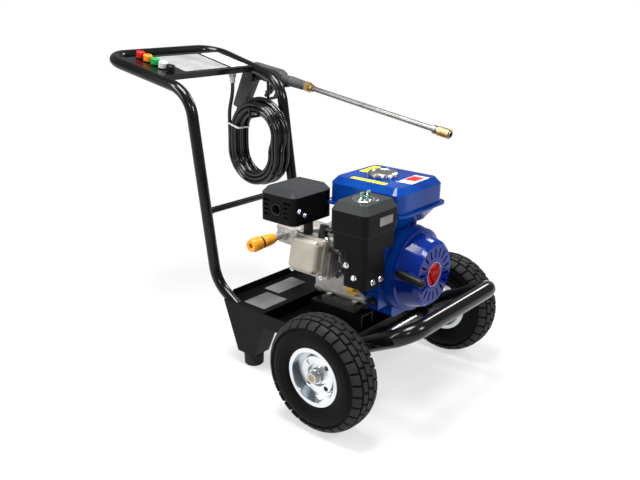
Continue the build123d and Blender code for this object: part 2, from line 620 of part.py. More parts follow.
blower -= rod((CRANK_X, RECOIL_BACK + wall, CRANK_Z), (CRANK_X, BLOWER_BACK, CRANK_Z), RECOIL_RADIUS - 6)
blower -= rod((CRANK_X, RECOIL_BACK + 20, CRANK_Z), (CRANK_X, BLOWER_BACK + 1, CRANK_Z), fan_room)
duct_room = box(
    duct_near + wall, CRANK_X, duct_front + wall, BLOWER_BACK + 1,
    CRANK_Z - 36 + wall, CLEANER_BOTTOM - 4 - wall
)
blower -= fillet(duct_room.edges().filter_by(Axis.Y), 12)
front_hole = ((CRANK_X, RECOIL_BACK - 1, CRANK_Z), (CRANK_X, RECOIL_BACK + wall + 1, CRANK_Z))
blower -= rod(*front_hole, RECOIL_RADIUS - 12)
skirt_room = skirt_half - wall
blower -= box(
    CRANK_X - skirt_room, CRANK_X + skirt_room, duct_front + wall, BLOWER_BACK + 1, BASE_Z - 4 + wall, CRANK_Z
)
switch_pin = rod((switch_face - 7, switch_y, switch_z), (switch_face + 1, switch_y, switch_z), 3)
pieces["blower_housing"] = blower + switch_pin

# Recoil starter: a slotted bell bolted on the front of the blower, open in its middle
face_back = RECOIL_FACE + COVER_SHEET
bell = [(RECOIL_EYE_RADIUS + 2, RECOIL_FACE), (RECOIL_FACE_RADIUS, RECOIL_FACE)]
bell += [(RECOIL_FACE_RADIUS + 8, RECOIL_FACE + 8)]
bell += [(RECOIL_RADIUS - 8, RECOIL_BACK - 6), (RECOIL_RADIUS, RECOIL_BACK - 4), (RECOIL_RADIUS, RECOIL_BACK)]
bell += [(RECOIL_RADIUS - 10, RECOIL_BACK), (RECOIL_RADIUS - 11, RECOIL_BACK - 6)]
bell += [(RECOIL_FACE_RADIUS + 5, RECOIL_FACE + 10)]
bell += [(RECOIL_FACE_RADIUS - 2, face_back + 1), (RECOIL_EYE_RADIUS + 2, face_back + 1)]
recoil = lathe_y(bell, CRANK_X, CRANK_Z)
slot_in = RECOIL_EYE_RADIUS + 15
slot_out = RECOIL_FACE_RADIUS - 7
for i in range(SLOT_COUNT):
    cut = Pos((slot_in + slot_out) / 2, RECOIL_FACE, 0) * Box(slot_out - slot_in, 12, 5)
    recoil -= Pos(CRANK_X, 0, CRANK_Z) * Rot(0, 360 * (i + 0.5) / SLOT_COUNT, 0) * cut
drum_front = face_back + 1 + 0.6
rope_y = drum_front + 9
rope_z = CRANK_Z + 15
guide_x = CRANK_X - RECOIL_RADIUS + 12
rope_radius = 2.0
guide = rod((guide_x, rope_y, rope_z), (guide_x + 28, rope_y, rope_z), 9)
recoil += guide - rod((CRANK_X, RECOIL_FACE, CRANK_Z), (CRANK_X, RECOIL_BACK, CRANK_Z), RECOIL_FACE_RADIUS)
recoil -= rod((guide_x - 1, rope_y, rope_z), (guide_x + 60, rope_y, rope_z), rope_radius + 0.4)
spindle_back = RECOIL_FACE + 34
for angle in (90, 210, 330):
    arm = box(RECOIL_EYE_RADIUS - 14, RECOIL_EYE_RADIUS + 6, RECOIL_FACE, face_back + 1, -3, 3)
    recoil += Pos(CRANK_X, 0, CRANK_Z) * Rot(0, angle, 0) * arm
recoil += rod((CRANK_X, RECOIL_FACE, CRANK_Z), (CRANK_X, face_back + 1, CRANK_Z), 13)
recoil += rod((CRANK_X, RECOIL_FACE, CRANK_Z), (CRANK_X, spindle_back, CRANK_Z), 5)
pieces["recoil_housing"] = recoil

# Recoil pulley: a red drum that turns on the spindle and holds the wound rope
drum = [(5 + RUNNING_GAP, drum_front), (34, drum_front), (40, drum_front + 3), (34, drum_front + 6)]
drum += [(34, drum_front + 12), (40, drum_front + 15), (34, drum_front + 18)]
drum += [(5 + RUNNING_GAP, drum_front + 18)]
pieces["recoil_pulley"] = lathe_y(drum, CRANK_X, CRANK_Z)

# Starter grip: a slim bar across the rope's end, resting against the guide
grip_back = guide_x - 0.4
grip_radius = 9.5
grip_centre = Vector(grip_back - grip_radius - 1, rope_y - 10, rope_z + 2)
grip_dir = Vector(0, -cos(radians(8)), -sin(radians(8)))
grip_half = 28.0
grip = rod(tuple(grip_centre - grip_dir * grip_half), tuple(grip_centre + grip_dir * grip_half), grip_radius)
for sign in (-1, 1):
    grip += Pos(*(grip_centre + grip_dir * (sign * grip_half))) * Sphere(grip_radius)
pieces["starter_grip"] = grip + rod((grip_back - 8, rope_y, rope_z), (grip_back, rope_y, rope_z), 6)
rope_end = CRANK_X - 35
pieces["starter_rope"] = rod((grip_back, rope_y, rope_z), (rope_end, rope_y, rope_z), rope_radius)

# Fuel tank: two pressed shells joined at a flange, with a filler neck under the cap
def tank_shell(inset):
    half_w = TANK_WIDTH / 2 - inset
    half_l = TANK_LENGTH / 2 - inset
    front, rear = TANK_Y - half_l, TANK_Y + half_l
    upper = box(TANK_X - half_w, TANK_X + half_w, front, rear, TANK_SEAM, TANK_TOP - inset)
    upper = fillet(upper.edges().filter_by(Axis.Z), TANK_ROUND - inset)
    upper = chamfer(upper.edges().group_by(Axis.Z)[-1], 14 - inset / 2)
    lower = Pos(0, 0, TANK_SEAM) * RectangleRounded(2 * half_w, 2 * half_l, TANK_ROUND - inset)
    floor = RectangleRounded(2 * half_w - 50, 2 * half_l - 50, TANK_ROUND - inset - 4)
    floor = Pos(0, 0, TANK_BOTTOM + inset) * floor
    return upper + Pos(TANK_X, TANK_Y, 0) * loft([floor, lower])


tank = tank_shell(0)
flange_w = TANK_WIDTH / 2 + TANK_FLANGE
flange_l = TANK_LENGTH / 2 + TANK_FLANGE
tank += rounded_box(TANK_X - flange_w, TANK_X + flange_w, TANK_Y - flange_l, TANK_Y + flange_l,
                    TANK_SEAM - 2, TANK_SEAM + 2, TANK_ROUND + 4)
tank += rod((NECK_X, NECK_Y, TANK_TOP - 4), (NECK_X, NECK_Y, TANK_TOP + NECK_HEIGHT), NECK_RADIUS)
tank -= tank_shell(TANK_WALL)
tank -= rod((NECK_X, NECK_Y, TANK_SEAM), (NECK_X, NECK_Y, TANK_TOP + 40), NECK_RADIUS - 2)
for x, y in ((-40, -52), (40, -52), (-40, 52), (40, 52)):
    post = rod((TANK_X + x, TANK_Y + y, CRANK_Z + 66), (TANK_X + x, TANK_Y + y, TANK_BOTTOM + 1), 8)
    tank += post - rod((CRANK_X, RECOIL_BACK, CRANK_Z), (CRANK_X, BLOWER_BACK + 3, CRANK_Z), BLOWER_RADIUS)
far = MUFFLER_NEAR + MUFFLER_DEPTH
lip_room = box(MUFFLER_NEAR, far + 4, MUFFLER_FRONT - 3, MUFFLER_REAR, TANK_SEAM - 4, TANK_SEAM + 4)
cl_far = CLEANER_NEAR + CLEANER_DEPTH
lip_room += box(CLEANER_NEAR, cl_far + 3, CLEANER_FRONT - 4, CLEANER_REAR + 4, TANK_SEAM - 4, TANK_SEAM + 4)
pieces["fuel_tank"] = tank - (lip_room - tank_shell(0))

# Fuel cap: a flat steel cap with a scalloped rim over the neck
cap_low = TANK_TOP + 1
cap_top = cap_low + CAP_HEIGHT
cap = [(NECK_RADIUS + 0.1, cap_low), (CAP_RADIUS, cap_low), (CAP_RADIUS + 1, cap_low + CAP_HEIGHT / 2)]
cap += [(CAP_RADIUS - 0.5, cap_top - 2), (CAP_RADIUS - 4, cap_top), (CAP_RADIUS - 10, cap_top)]
cap += [(CAP_RADIUS - 12, cap_top - 1.5), (0, cap_top - 1.5), (0, TANK_TOP + NECK_HEIGHT + 0.3)]
cap += [(NECK_RADIUS + 0.1, TANK_TOP + NECK_HEIGHT + 0.3)]
fuel_cap = lathe_z(cap, NECK_X, NECK_Y)
for i in range(CAP_SCALLOPS):
    turn = 2 * pi * i / CAP_SCALLOPS
    grip_x = NECK_X + (CAP_RADIUS + 2.5) * cos(turn)
    grip_y = NECK_Y + (CAP_RADIUS + 2.5) * sin(turn)
    fuel_cap -= rod((grip_x, grip_y, cap_low - 1), (grip_x, grip_y, cap_top + 1), CAP_SCALLOP_RADIUS)
pieces["fuel_cap"] = fuel_cap

# Muffler: a hollow steel can on a pipe from the head, inside a slotted guard
mid_y = (MUFFLER_FRONT + MUFFLER_REAR) / 2
can_top = GUARD_TOP - GUARD_BEVEL - 4


def muffler_box(inset, low, high, corner):
    """A box with round upright edges, set in from the guard's outer sides."""
    near, front, rear = MUFFLER_NEAR + inset, MUFFLER_FRONT + inset, MUFFLER_REAR - inset
    return rounded_box(near, far - inset, front, rear, low, high, corner)


can = muffler_box(7, MUFFLER_BOTTOM + 7, can_top, 14) - muffler_box(9, MUFFLER_BOTTOM + 9, can_top - 2, 12)
outlet_z = MUFFLER_BOTTOM + 31
tail_pipe = (MUFFLER_NEAR - 2, mid_y, outlet_z)
can += sleeve(tail_pipe, (MUFFLER_NEAR + 9, mid_y, outlet_z), OUTLET_RADIUS - 1, OUTLET_RADIUS - 3)
can -= rod((MUFFLER_NEAR - 3, mid_y, outlet_z), (MUFFLER_NEAR + 20, mid_y, outlet_z), OUTLET_RADIUS - 3)
pipe_x = CRANK_X - 136
pipe_y = MUFFLER_FRONT + 14
pipe = rod((pipe_x, pipe_y, CRANK_Z + 50), (pipe_x, pipe_y, MUFFLER_BOTTOM + 8), 11)
engine_room = barrel_frame * (head + Pos(0, 0, BARREL_END / 2) * Box(140, 120, BARREL_END))
pieces["muffler"] = can + pipe - engine_room - pieces["rocker_cover"]
guard = muffler_box(0, MUFFLER_BOTTOM, GUARD_TOP, 16)
guard = chamfer(guard.edges().group_by(Axis.Z)[-1], GUARD_BEVEL)
guard_room = muffler_box(GUARD_SHEET, MUFFLER_BOTTOM - 1, GUARD_TOP - GUARD_SHEET, 14)
guard -= chamfer(guard_room.edges().group_by(Axis.Z)[-1], GUARD_BEVEL - GUARD_SHEET)
stay = (MUFFLER_FRONT + 20, MUFFLER_REAR - 20, can_top - 14, can_top - 6)
guard += box(MUFFLER_NEAR + 1, MUFFLER_NEAR + 7 - RUNNING_GAP, *stay)
guard += box(far - 7 + RUNNING_GAP, far - 1, *stay)
guard -= rod((MUFFLER_NEAR - 3, mid_y, outlet_z), (MUFFLER_NEAR + 6, mid_y, outlet_z), OUTLET_RADIUS + 1)
for side in (-1, 1):
    for i in range(4):
        z = MUFFLER_BOTTOM + 14 + i * 11
        low, high = sorted((mid_y + side * 21, mid_y + side * 40))
        guard -= box(MUFFLER_NEAR - 1, MUFFLER_NEAR + 5, low, high, z, z + 5)
pieces["muffler_guard"] = guard

# Air cleaner: a base box on the carburettor, a filter element and a deep cover under a wing nut
cl_x = (CLEANER_NEAR + cl_far) / 2
cl_y = (CLEANER_FRONT + CLEANER_REAR) / 2
stud_radius = 3.0


def cleaner_box(inset, low, high, corner):
    """A box with round upright edges, set in from the cover's outer sides."""
    near, front, rear = CLEANER_NEAR + inset, CLEANER_FRONT + inset, CLEANER_REAR - inset
    return rounded_box(near, cl_far - inset, front, rear, low, high, corner)


def cleaner_lid(inset, low, high):
    """The sloping upper part of the cover, from the lid's edge up to its flat top."""
    width = CLEANER_DEPTH - 2 * inset
    length = CLEANER_REAR - CLEANER_FRONT - 2 * inset
    bottom = RectangleRounded(width, length, CLEANER_ROUND - inset)
    top = RectangleRounded(width - 2 * CLEANER_BEVEL, length - 2 * CLEANER_BEVEL, CLEANER_ROUND - inset - 4)
    return loft([Pos(cl_x, cl_y, low) * bottom, Pos(cl_x, cl_y, high) * top])


base = cleaner_box(3, CLEANER_BOTTOM, CLEANER_SEAM, CLEANER_ROUND)
base -= cleaner_box(6, CLEANER_BOTTOM + 4, CLEANER_SEAM + 1, CLEANER_ROUND - 3)
low_far = duct_near - 3
low_z = CLEANER_BOTTOM - 82
low_front = CLEANER_FRONT + 9
low_rear = CLEANER_REAR - 24
base += rounded_box(CLEANER_NEAR + 16, low_far, low_front, low_rear, low_z, CLEANER_BOTTOM + 1, 10)
low_room = (CLEANER_NEAR + 19, low_far - 3, low_front + 3, low_rear - 3, low_z + 3, CLEANER_BOTTOM - 3)
base -= rounded_box(*low_room, 6)
base += rod((cl_x, cl_y, CLEANER_BOTTOM), (cl_x, cl_y, CLEANER_TOP + 14), stud_radius)
shelf = (CLEANER_REAR - 12, CLEANER_REAR + 16, CLEANER_BOTTOM, CLEANER_BOTTOM + 4)
base += box(CRANK_X - 150, CRANK_X - 114, *shelf)
pieces["air_cleaner_base"] = base
element = sleeve((cl_x, cl_y, CLEANER_BOTTOM + 4), (cl_x, cl_y, CLEANER_TOP - 20), 40, 26)
pieces["air_filter"] = element
cover = cleaner_box(0, CLEANER_SEAM, CLEANER_LID, CLEANER_ROUND) + cleaner_lid(0, CLEANER_LID, CLEANER_TOP)
cover -= cleaner_box(CLEANER_WALL, CLEANER_SEAM - 1, CLEANER_LID - CLEANER_WALL, CLEANER_ROUND - CLEANER_WALL)
cover -= cleaner_lid(CLEANER_WALL, CLEANER_LID - CLEANER_WALL, CLEANER_TOP - CLEANER_WALL)
cover -= rod((cl_x, cl_y, CLEANER_SEAM), (cl_x, cl_y, CLEANER_TOP + 1), stud_radius + 0.3)
pieces["air_cleaner_cover"] = cover
nut_low = CLEANER_TOP + 0.3
wing = sleeve((cl_x, cl_y, nut_low), (cl_x, cl_y, nut_low + 3), 19, stud_radius + RUNNING_GAP)
wing += sleeve((cl_x, cl_y, nut_low), (cl_x, cl_y, nut_low + 10), 7, stud_radius + RUNNING_GAP)
for sign in (-1, 1):
    low, high = sorted((cl_x + sign * 6, cl_x + sign * 15))
    wing += box(low, high, cl_y - 1.5, cl_y + 1.5, nut_low + 3, nut_low + 17)
pieces["wing_nut"] = wing

# Carburettor between the air cleaner and the head, with its float bowl below and two lever shafts
carb_y0 = CLEANER_REAR + 12
carb_x = CRANK_X - 132
carb_z = CRANK_Z + 52
carb = box(carb_x - 18, carb_x + 18, carb_y0 - 22, carb_y0 + 6, carb_z - 20, carb_z + 20)
carb += rod((carb_x, carb_y0 - 8, carb_z - 48), (carb_x, carb_y0 - 8, carb_z - 19), 17)
carb += rod((carb_x, carb_y0 - 8, carb_z - 56), (carb_x, carb_y0 - 8, carb_z - 47), 6)
carb += rod((carb_x, carb_y0 - 8, carb_z + 10), (carb_x, carb_y0 - 8, CLEANER_BOTTOM), 13)
carb += rod((carb_x, carb_y0, carb_z), (carb_x, CYLINDER_Y, carb_z), 12)
carb -= barrel_frame * (Pos(0, 0, BARREL_END) * Box(2 * BARREL_HALF - 10, 2 * BARREL_HALF - 10, BARREL_END))
carb -= pieces["cylinder_head"]
lever_x = carb_x - 18
pin_radius = 2.5
choke_spot = (carb_y0 - 8, carb_z + 6)
fuel_spot = (carb_y0 - 8, carb_z - 34)
carb += rod((lever_x - 12, *choke_spot), (lever_x + 2, *choke_spot), pin_radius)
carb += rod((lever_x - 12, *fuel_spot), (lever_x + 6, *fuel_spot), pin_radius)
pieces["carburettor"] = carb


def lever(x0, x1, spot, length, angle, width):
    """A flat lever with an eye on a pin along X, pointing at an angle from straight back."""
    y, z = spot
    arm = Box(x1 - x0, length, width, align=(Align.CENTER, Align.MIN, Align.CENTER))
    arm = fillet(arm.edges().filter_by(Axis.X), width / 2 - 0.5)
    eye = rod((x0, y, z), (x1, y, z), width * 0.75)
    body = eye + Pos((x0 + x1) / 2, y, z) * Rot(angle, 0, 0) * arm
    return body - rod((x0 - 1, y, z), (x1 + 1, y, z), pin_radius + RUNNING_GAP)


pieces["choke_lever"] = lever(lever_x - 10, lever_x - 7, choke_spot, 22, -110, 10)
pieces["fuel_lever"] = lever(lever_x - 10, lever_x - 7, fuel_spot, 22, -60, 10)

# Throttle lever on its own pin beside the tank's bracket
throttle_spot = (CASE_BACK - 62, CRANK_Z + 88)
throttle_x = CRANK_X - 80
stay = (throttle_spot[0] - 16, throttle_spot[0] + 16, CRANK_Z + 55)
bracket = box(throttle_x + 4, throttle_x + 8, *stay, throttle_spot[1] + 8)
bracket += box(throttle_x + 4, CRANK_X - case_half + 20, *stay, CRANK_Z + 59)
bracket += rod((throttle_x - 8, *throttle_spot), (throttle_x + 5, *throttle_spot), pin_radius)
pieces["crankcase"] = pieces["crankcase"] + (bracket - pieces["fuel_tank"])
pieces["throttle_lever"] = lever(throttle_x - 6, throttle_x - 3, throttle_spot, 40, 115, 11)

# Engine switch: a small turning knob on the box at the blower's right side
knob = rod((switch_face - 9, switch_y, switch_z), (switch_face - 0.3, switch_y, switch_z), 10)
knob += box(switch_face - 15, switch_face - 8, switch_y - 9, switch_y + 9, switch_z - 2.5, switch_z + 2.5)
knob -= rod((switch_face - 7.3, switch_y, switch_z), (switch_face + 1, switch_y, switch_z), 3 + RUNNING_GAP)
pieces["engine_switch"] = knob

# Oil dipstick: a yellow plug with a flat grip, screwed into the filler neck
stick = rod(tuple(filler_start - filler_axis * 6), tuple(filler_mouth), 8)
stick += rod(tuple(filler_mouth + filler_axis * 0.3), tuple(filler_mouth + filler_axis * 7), 15)
grip_root = filler_mouth + filler_axis * 6
grip_frame = Plane(origin=tuple(grip_root), x_dir=(0, 1, 0), z_dir=tuple(filler_axis)).location
stick += rod(tuple(filler_mouth - filler_axis), tuple(filler_mouth + filler_axis), 8)
pieces["oil_dipstick"] = stick + grip_frame * (Pos(0, 0, 9) * Box(24, 6, 18))

# Pump: a round body on the crankcase cover, a brass manifold behind it with inlet, outlet and unloader
pump = lathe_y(
    [(PTO_RADIUS + 0.4, COVER_BACK), (62, COVER_BACK), (62, COVER_BACK + PUMP_FLANGE),
     (PUMP_RADIUS, COVER_BACK + PUMP_FLANGE + 6), (PUMP_RADIUS, PUMP_BODY_END),
     (0, PUMP_BODY_END), (0, pto_end + 3), (PTO_RADIUS + 0.4, pto_end + 3)],
    CRANK_X, CRANK_Z,
)
for i in range(6):
    rib = Box(10, PUMP_BODY_END - COVER_BACK - 34, 4)
    rib = Pos(PUMP_RADIUS, (COVER_BACK + PUMP_BODY_END) / 2 + 8, 0) * rib
    pump += Pos(CRANK_X, 0, CRANK_Z) * Rot(0, 30 + 60 * i, 0) * rib
pieces["pump_body"] = pump
head_half = PUMP_HEAD_HALF
head_low = INLET_Z - PUMP_HEAD_HEIGHT / 2
head_high = INLET_Z + PUMP_HEAD_HEIGHT / 2
manifold = box(CRANK_X - head_half, CRANK_X + head_half, PUMP_BODY_END, PUMP_HEAD_END, head_low, head_high)
manifold = chamfer(manifold.edges().filter_by(Axis.Y), 9)
inlet_face = CRANK_X - head_half
manifold -= rod((inlet_face - 1, INLET_Y, INLET_Z), (inlet_face + 40, INLET_Y, INLET_Z), INLET_RADIUS)
outlet_face = CRANK_X + head_half
outlet_tip = outlet_face + 12 + OUTLET_THREAD_LENGTH
manifold += hexagon((outlet_face - 1, INLET_Y, INLET_Z), (outlet_face + 12, INLET_Y, INLET_Z), 27)
manifold += rod((outlet_face + 11, INLET_Y, INLET_Z), (outlet_tip, INLET_Y, INLET_Z), OUTLET_THREAD_RADIUS)
manifold -= rod((outlet_face - 20, INLET_Y, INLET_Z), (outlet_tip + 1, INLET_Y, INLET_Z), 5)
unloader_y = (PUMP_BODY_END + PUMP_HEAD_END) / 2 - 8
unloader_top = head_high + 32
manifold += rod((CRANK_X, unloader_y, head_high - 1), (CRANK_X, unloader_y, unloader_top), 14)
manifold += rod((CRANK_X, unloader_y, unloader_top - 1), (CRANK_X, unloader_y, unloader_top + 16), 5)
for sx in (-1, 1):
    for sz in (-1, 1):
        spot = (CRANK_X + sx * 32, PUMP_HEAD_END, INLET_Z + sz * 14)
        manifold += hexagon((spot[0], PUMP_HEAD_END - 1, spot[2]), (spot[0], PUMP_HEAD_END + 7, spot[2]), 13)
pieces["pump_manifold"] = manifold
knob = rod((CRANK_X, unloader_y, unloader_top + 0.3), (CRANK_X, unloader_y, unloader_top + 26), KNOB_RADIUS)
for i in range(10):
    flute = Pos(KNOB_RADIUS + 1, 0, unloader_top + 14) * Cylinder(3, 40)
    knob -= Pos(CRANK_X, unloader_y, 0) * Rot(0, 0, 36 * i) * flute
stem_end = (CRANK_X, unloader_y, unloader_top + 16.4)
pieces["unloader_knob"] = knob - rod((CRANK_X, unloader_y, unloader_top), stem_end, 5 + RUNNING_GAP)

# Inlet: a brass nipple in the manifold and the yellow quick connector that plugs onto it
nipple_tip = inlet_face - 48
nipple = rod((inlet_face + 30, INLET_Y, INLET_Z), (inlet_face, INLET_Y, INLET_Z), INLET_RADIUS)
nipple += hexagon((inlet_face, INLET_Y, INLET_Z), (inlet_face - 14, INLET_Y, INLET_Z), 27)
nipple += rod((inlet_face - 13, INLET_Y, INLET_Z), (nipple_tip, INLET_Y, INLET_Z), INLET_RADIUS - 0.5)
nipple -= rod((inlet_face + 31, INLET_Y, INLET_Z), (nipple_tip - 1, INLET_Y, INLET_Z), 4)
pieces["inlet_fitting"] = nipple
cone_start = inlet_face - 37
cone_end = cone_start - CONNECTOR_LENGTH
face = [(cone_start, 11), (cone_start - 12, CONNECTOR_RADIUS - 3), (cone_start - 40, CONNECTOR_RADIUS - 1)]
face += [(cone_start - 42, CONNECTOR_RADIUS - 2.5), (cone_start - 50, CONNECTOR_RADIUS - 2.5)]
face += [(cone_start - 52, CONNECTOR_RADIUS), (cone_start - 72, CONNECTOR_RADIUS + 0.5)]
face += [(cone_end, CONNECTOR_RADIUS - 2.5), (cone_end, 6.5), (cone_start - 30, 6.5)]
face += [(cone_start - 30, 5), (cone_start - 12, 5), (cone_start - 12, INLET_RADIUS - 0.5 + GROMMET_GAP)]
face += [(cone_start, INLET_RADIUS - 0.5 + GROMMET_GAP)]
connector = revolve(outline([(x, r, 0) for x, r in face]), axis=Axis.X)
pieces["inlet_connector"] = Pos(0, INLET_Y, INLET_Z) * connector

# Gun and lance lie beside the left side tube, in a frame along the lance: x forwards, y outboard, z up
slope = radians(LANCE_SLOPE)
lance_frame = Plane(
    origin=(LANCE_X, LANCE_Y, LANCE_Z),
    x_dir=(0, -cos(slope), -sin(slope)),
    z_dir=(0, -sin(slope), cos(slope)),
).location
collar_back = LANCE_LENGTH - COLLAR_LENGTH
body_back = collar_back - COLLAR_TRAVEL - 8
lance = sleeve((-30, 0, 0), (body_back + 1, 0, 0), LANCE_RADIUS, LANCE_RADIUS - 2)
socket = NOZZLE_PLUG_RADIUS + 0.1
core = sleeve((body_back, 0, 0), (LANCE_LENGTH, 0, 0), 8.5, socket)
core += sleeve((body_back, 0, 0), (body_back + 8, 0, 0), 10.5, LANCE_RADIUS - 2)
pieces["lance_tube"] = lance_frame * (lance + core)
collar_bore = 8.5 + RUNNING_GAP
collar = sleeve((collar_back, 0, 0), (LANCE_LENGTH - 3, 0, 0), COLLAR_RADIUS, collar_bore)
collar -= sleeve((collar_back + 12, 0, 0), (collar_back + 15, 0, 0), COLLAR_RADIUS + 1, COLLAR_RADIUS - 1.2)
collar -= sleeve((collar_back + 20, 0, 0), (collar_back + 23, 0, 0), COLLAR_RADIUS + 1, COLLAR_RADIUS - 1.2)
pieces["coupler_collar"] = lance_frame * collar
nut = hexagon((-12, 0, 0), (4, 0, 0), LANCE_NUT_RADIUS * 2)
nut += rod((3, 0, 0), (14, 0, 0), LANCE_NUT_RADIUS - 2.5)
pieces["lance_nut"] = lance_frame * (nut - rod((-13, 0, 0), (15, 0, 0), LANCE_RADIUS))

nose = [(-12, 11), (-18, 12.5), (-66, 14.5), (-72, 13), (-120, 13), (-120, 0), (-30, 0)]
nose += [(-30, LANCE_RADIUS), (-12, LANCE_RADIUS)]
gun = revolve(outline([(x, 0, r) for x, r in nose]), axis=Axis.X)
height = GUN_HALF_HEIGHT
body_front = GUN_FRONT - 26
body_outline = [(body_front, height - 6), (body_front - 18, height), (GUN_REAR + 20, height - 2)]
body_outline += [(GUN_REAR, height - 14)]
body_outline += [(GUN_REAR - 34, -118), (GUN_REAR + 2, -126), (GUN_REAR + 40, -height), (body_front, -height)]
side_face = outline([(x, -GUN_HALF_WIDTH, z) for x, z in body_outline])
shell = extrude(side_face, amount=2 * GUN_HALF_WIDTH, dir=(0, 1, 0))
shell = fillet(shell.edges().filter_by(Axis.Y), 5)
guard_outer = [(body_front - 8, -height + 6), (body_front - 20, -62), (GUN_REAR - 4, -116)]
guard_outer += [(GUN_REAR + 20, -80), (GUN_REAR + 40, -height + 6)]
guard_inner = [(body_front - 15, -height + 2), (body_front - 26, -56), (GUN_REAR + 14, -100)]
guard_inner += [(GUN_REAR + 40, -height + 2)]
guard = extrude(outline([(x, -5, z) for x, z in guard_outer]), amount=10, dir=(0, 1, 0))
guard -= extrude(outline([(x, -6, z) for x, z in guard_inner]), amount=12, dir=(0, 1, 0))
gun = gun + shell + guard
pivot = (body_front - 32, -height + 6)
trigger_half = 6.0
slot_half = trigger_half + 1
gun -= box(pivot[0] - 36, pivot[0] + 18, -slot_half, slot_half, -height - 2, -height + 18)
gun += rod((pivot[0], -GUN_HALF_WIDTH + 1, pivot[1]), (pivot[0], GUN_HALF_WIDTH - 1, pivot[1]), 3)
inlet_axis = Vector(-34, 0, -104).normalized()
inlet_from = Vector(GUN_REAR - 16, 0, -118)
gun += rod(tuple(inlet_from), tuple(inlet_from + inlet_axis * 24), 9)
pieces["gun_body"] = lance_frame * gun

# Trigger on its pivot in the body, with a small latch that folds out behind it
arm = [(7, 6), (7, -12), (-10, -38), (-24, -52), (-30, -47), (-19, -34), (-11, -10), (-8, 6)]
arm_face = outline([(pivot[0] + x, -trigger_half, pivot[1] + z) for x, z in arm])
trigger = extrude(arm_face, amount=2 * trigger_half, dir=(0, 1, 0))
trigger -= rod((pivot[0], -20, pivot[1]), (pivot[0], 20, pivot[1]), 3 + RUNNING_GAP)
latch_pin = (pivot[0] - 11, pivot[1] - 26)
latch_half = 2.0
latch_slot = latch_half + 0.5
slot_high = latch_pin[1] + 10
trigger -= box(latch_pin[0] - 30, latch_pin[0] + 5, -latch_slot, latch_slot, latch_pin[1] - 13, slot_high)
latch_rod = ((latch_pin[0], 1 - trigger_half, latch_pin[1]), (latch_pin[0], trigger_half - 1, latch_pin[1]))
trigger += rod(*latch_rod, 1.5)
pieces["gun_trigger"] = lance_frame * trigger
latch_arm = Box(24, 2 * latch_half, 6, align=(Align.MAX, Align.CENTER, Align.CENTER))
latch = Rot(0, -35, 0) * fillet(latch_arm.edges().filter_by(Axis.Y), 2.4)
latch += Rot(90, 0, 0) * Cylinder(4, 2 * latch_half)
latch -= Rot(90, 0, 0) * Cylinder(1.5 + RUNNING_GAP, 20)
pieces["trigger_latch"] = lance_frame * (Pos(latch_pin[0], 0, latch_pin[1]) * latch)

# Hooks: a strap and a bent rod that carry the gun, and a bent rod that carries the hose coil
at = GUN_REAR + 52
strap_half = 8.0
tube_y = tube_x(LANCE_Y - at * cos(slope)) - LANCE_X
strap = box(at - strap_half, at + strap_half, tube_y - 8, GUN_HALF_WIDTH + 4, -height - 3.3, -height - 0.3)
strap += box(at - strap_half, at + strap_half, GUN_HALF_WIDTH + 1, GUN_HALF_WIDTH + 4, -height - 3.3, 0)
strap += box(at - strap_half, at + strap_half, tube_y - 8, tube_y + 8, -height - 3.3, 0)
rest_x = (GUN_FRONT + body_front) / 2 - 3
rest_y = LANCE_Y - rest_x * cos(slope)
rest_z = LANCE_Z - rest_x * sin(slope) - 13 / cos(slope) - HOOK_RADIUS - WELD_GAP
rest_out = LANCE_X + 22
rest_route = [(POST_X, rest_y, rest_z), (rest_out, rest_y, rest_z), (rest_out, rest_y, rest_z + 22)]
gun_rest = bent_tube(rest_route, 9.0, HOOK_RADIUS)
hang_z = COIL_Z + COIL_RUN / 2 + COIL_INNER - HOSE_RADIUS - HOOK_RADIUS - WELD_GAP
coil_depth = (HOSE_LAYERS - 1) * HOSE_PITCH / 2 + HOSE_RADIUS
hook_out = COIL_X - coil_depth - 8
hook_route = [(POST_X, COIL_Y, handle_z(COIL_Y)), (POST_X, COIL_Y, hang_z), (hook_out, COIL_Y, hang_z)]
hook_route += [(hook_out, COIL_Y, hang_z + 24)]
hose_hook = bent_tube(hook_route, 9.0, HOOK_RADIUS)
hooks = [lance_frame * strap - handle_envelope, gun_rest - handle_envelope, hose_hook - handle_envelope]
pieces["accessory_hooks"] = Compound(children=hooks)

# Hose coil: one tube wound in four layers, in and out by turns, hung over the hook
half_run = COIL_RUN / 2
run_low = COIL_Z - half_run
run_high = COIL_Z + half_run
layer_x = [COIL_X - (k - (HOSE_LAYERS - 1) / 2) * HOSE_PITCH for k in range(HOSE_LAYERS)]
hose_edges = []
hose_at = [(layer_x[0], COIL_Y + COIL_INNER + (HOSE_TURNS - 1) * HOSE_PITCH, run_low - 8 * HOSE_RADIUS)]


def coil_y(i, side):
    """Y of a run: i counts the turns from the inside, side is 1 behind and -1 in front."""
    return COIL_Y + side * (COIL_INNER + i * HOSE_PITCH)


def hose_line(end):
    hose_edges.append(Line(hose_at[-1], end))
    hose_at.append(end)


def hose_arc(middle, end):
    hose_edges.append(ThreePointArc(hose_at[-1], middle, end))
    hose_at.append(end)


def over_the_top(k, i):
    hose_line((layer_x[k], coil_y(i, 1), run_high))
    middle = (layer_x[k], COIL_Y, run_high + COIL_INNER + i * HOSE_PITCH)
    hose_arc(middle, (layer_x[k], coil_y(i, -1), run_high))


def under_the_bottom(k, i, j):
    if hose_at[-1][2] > run_low:
        hose_line((layer_x[k], coil_y(i, -1), run_low))
    radius = (coil_y(j, 1) - coil_y(i, -1)) / 2
    middle = (layer_x[k], (coil_y(j, 1) + coil_y(i, -1)) / 2, run_low - radius)
    hose_arc(middle, (layer_x[k], coil_y(j, 1), run_low))


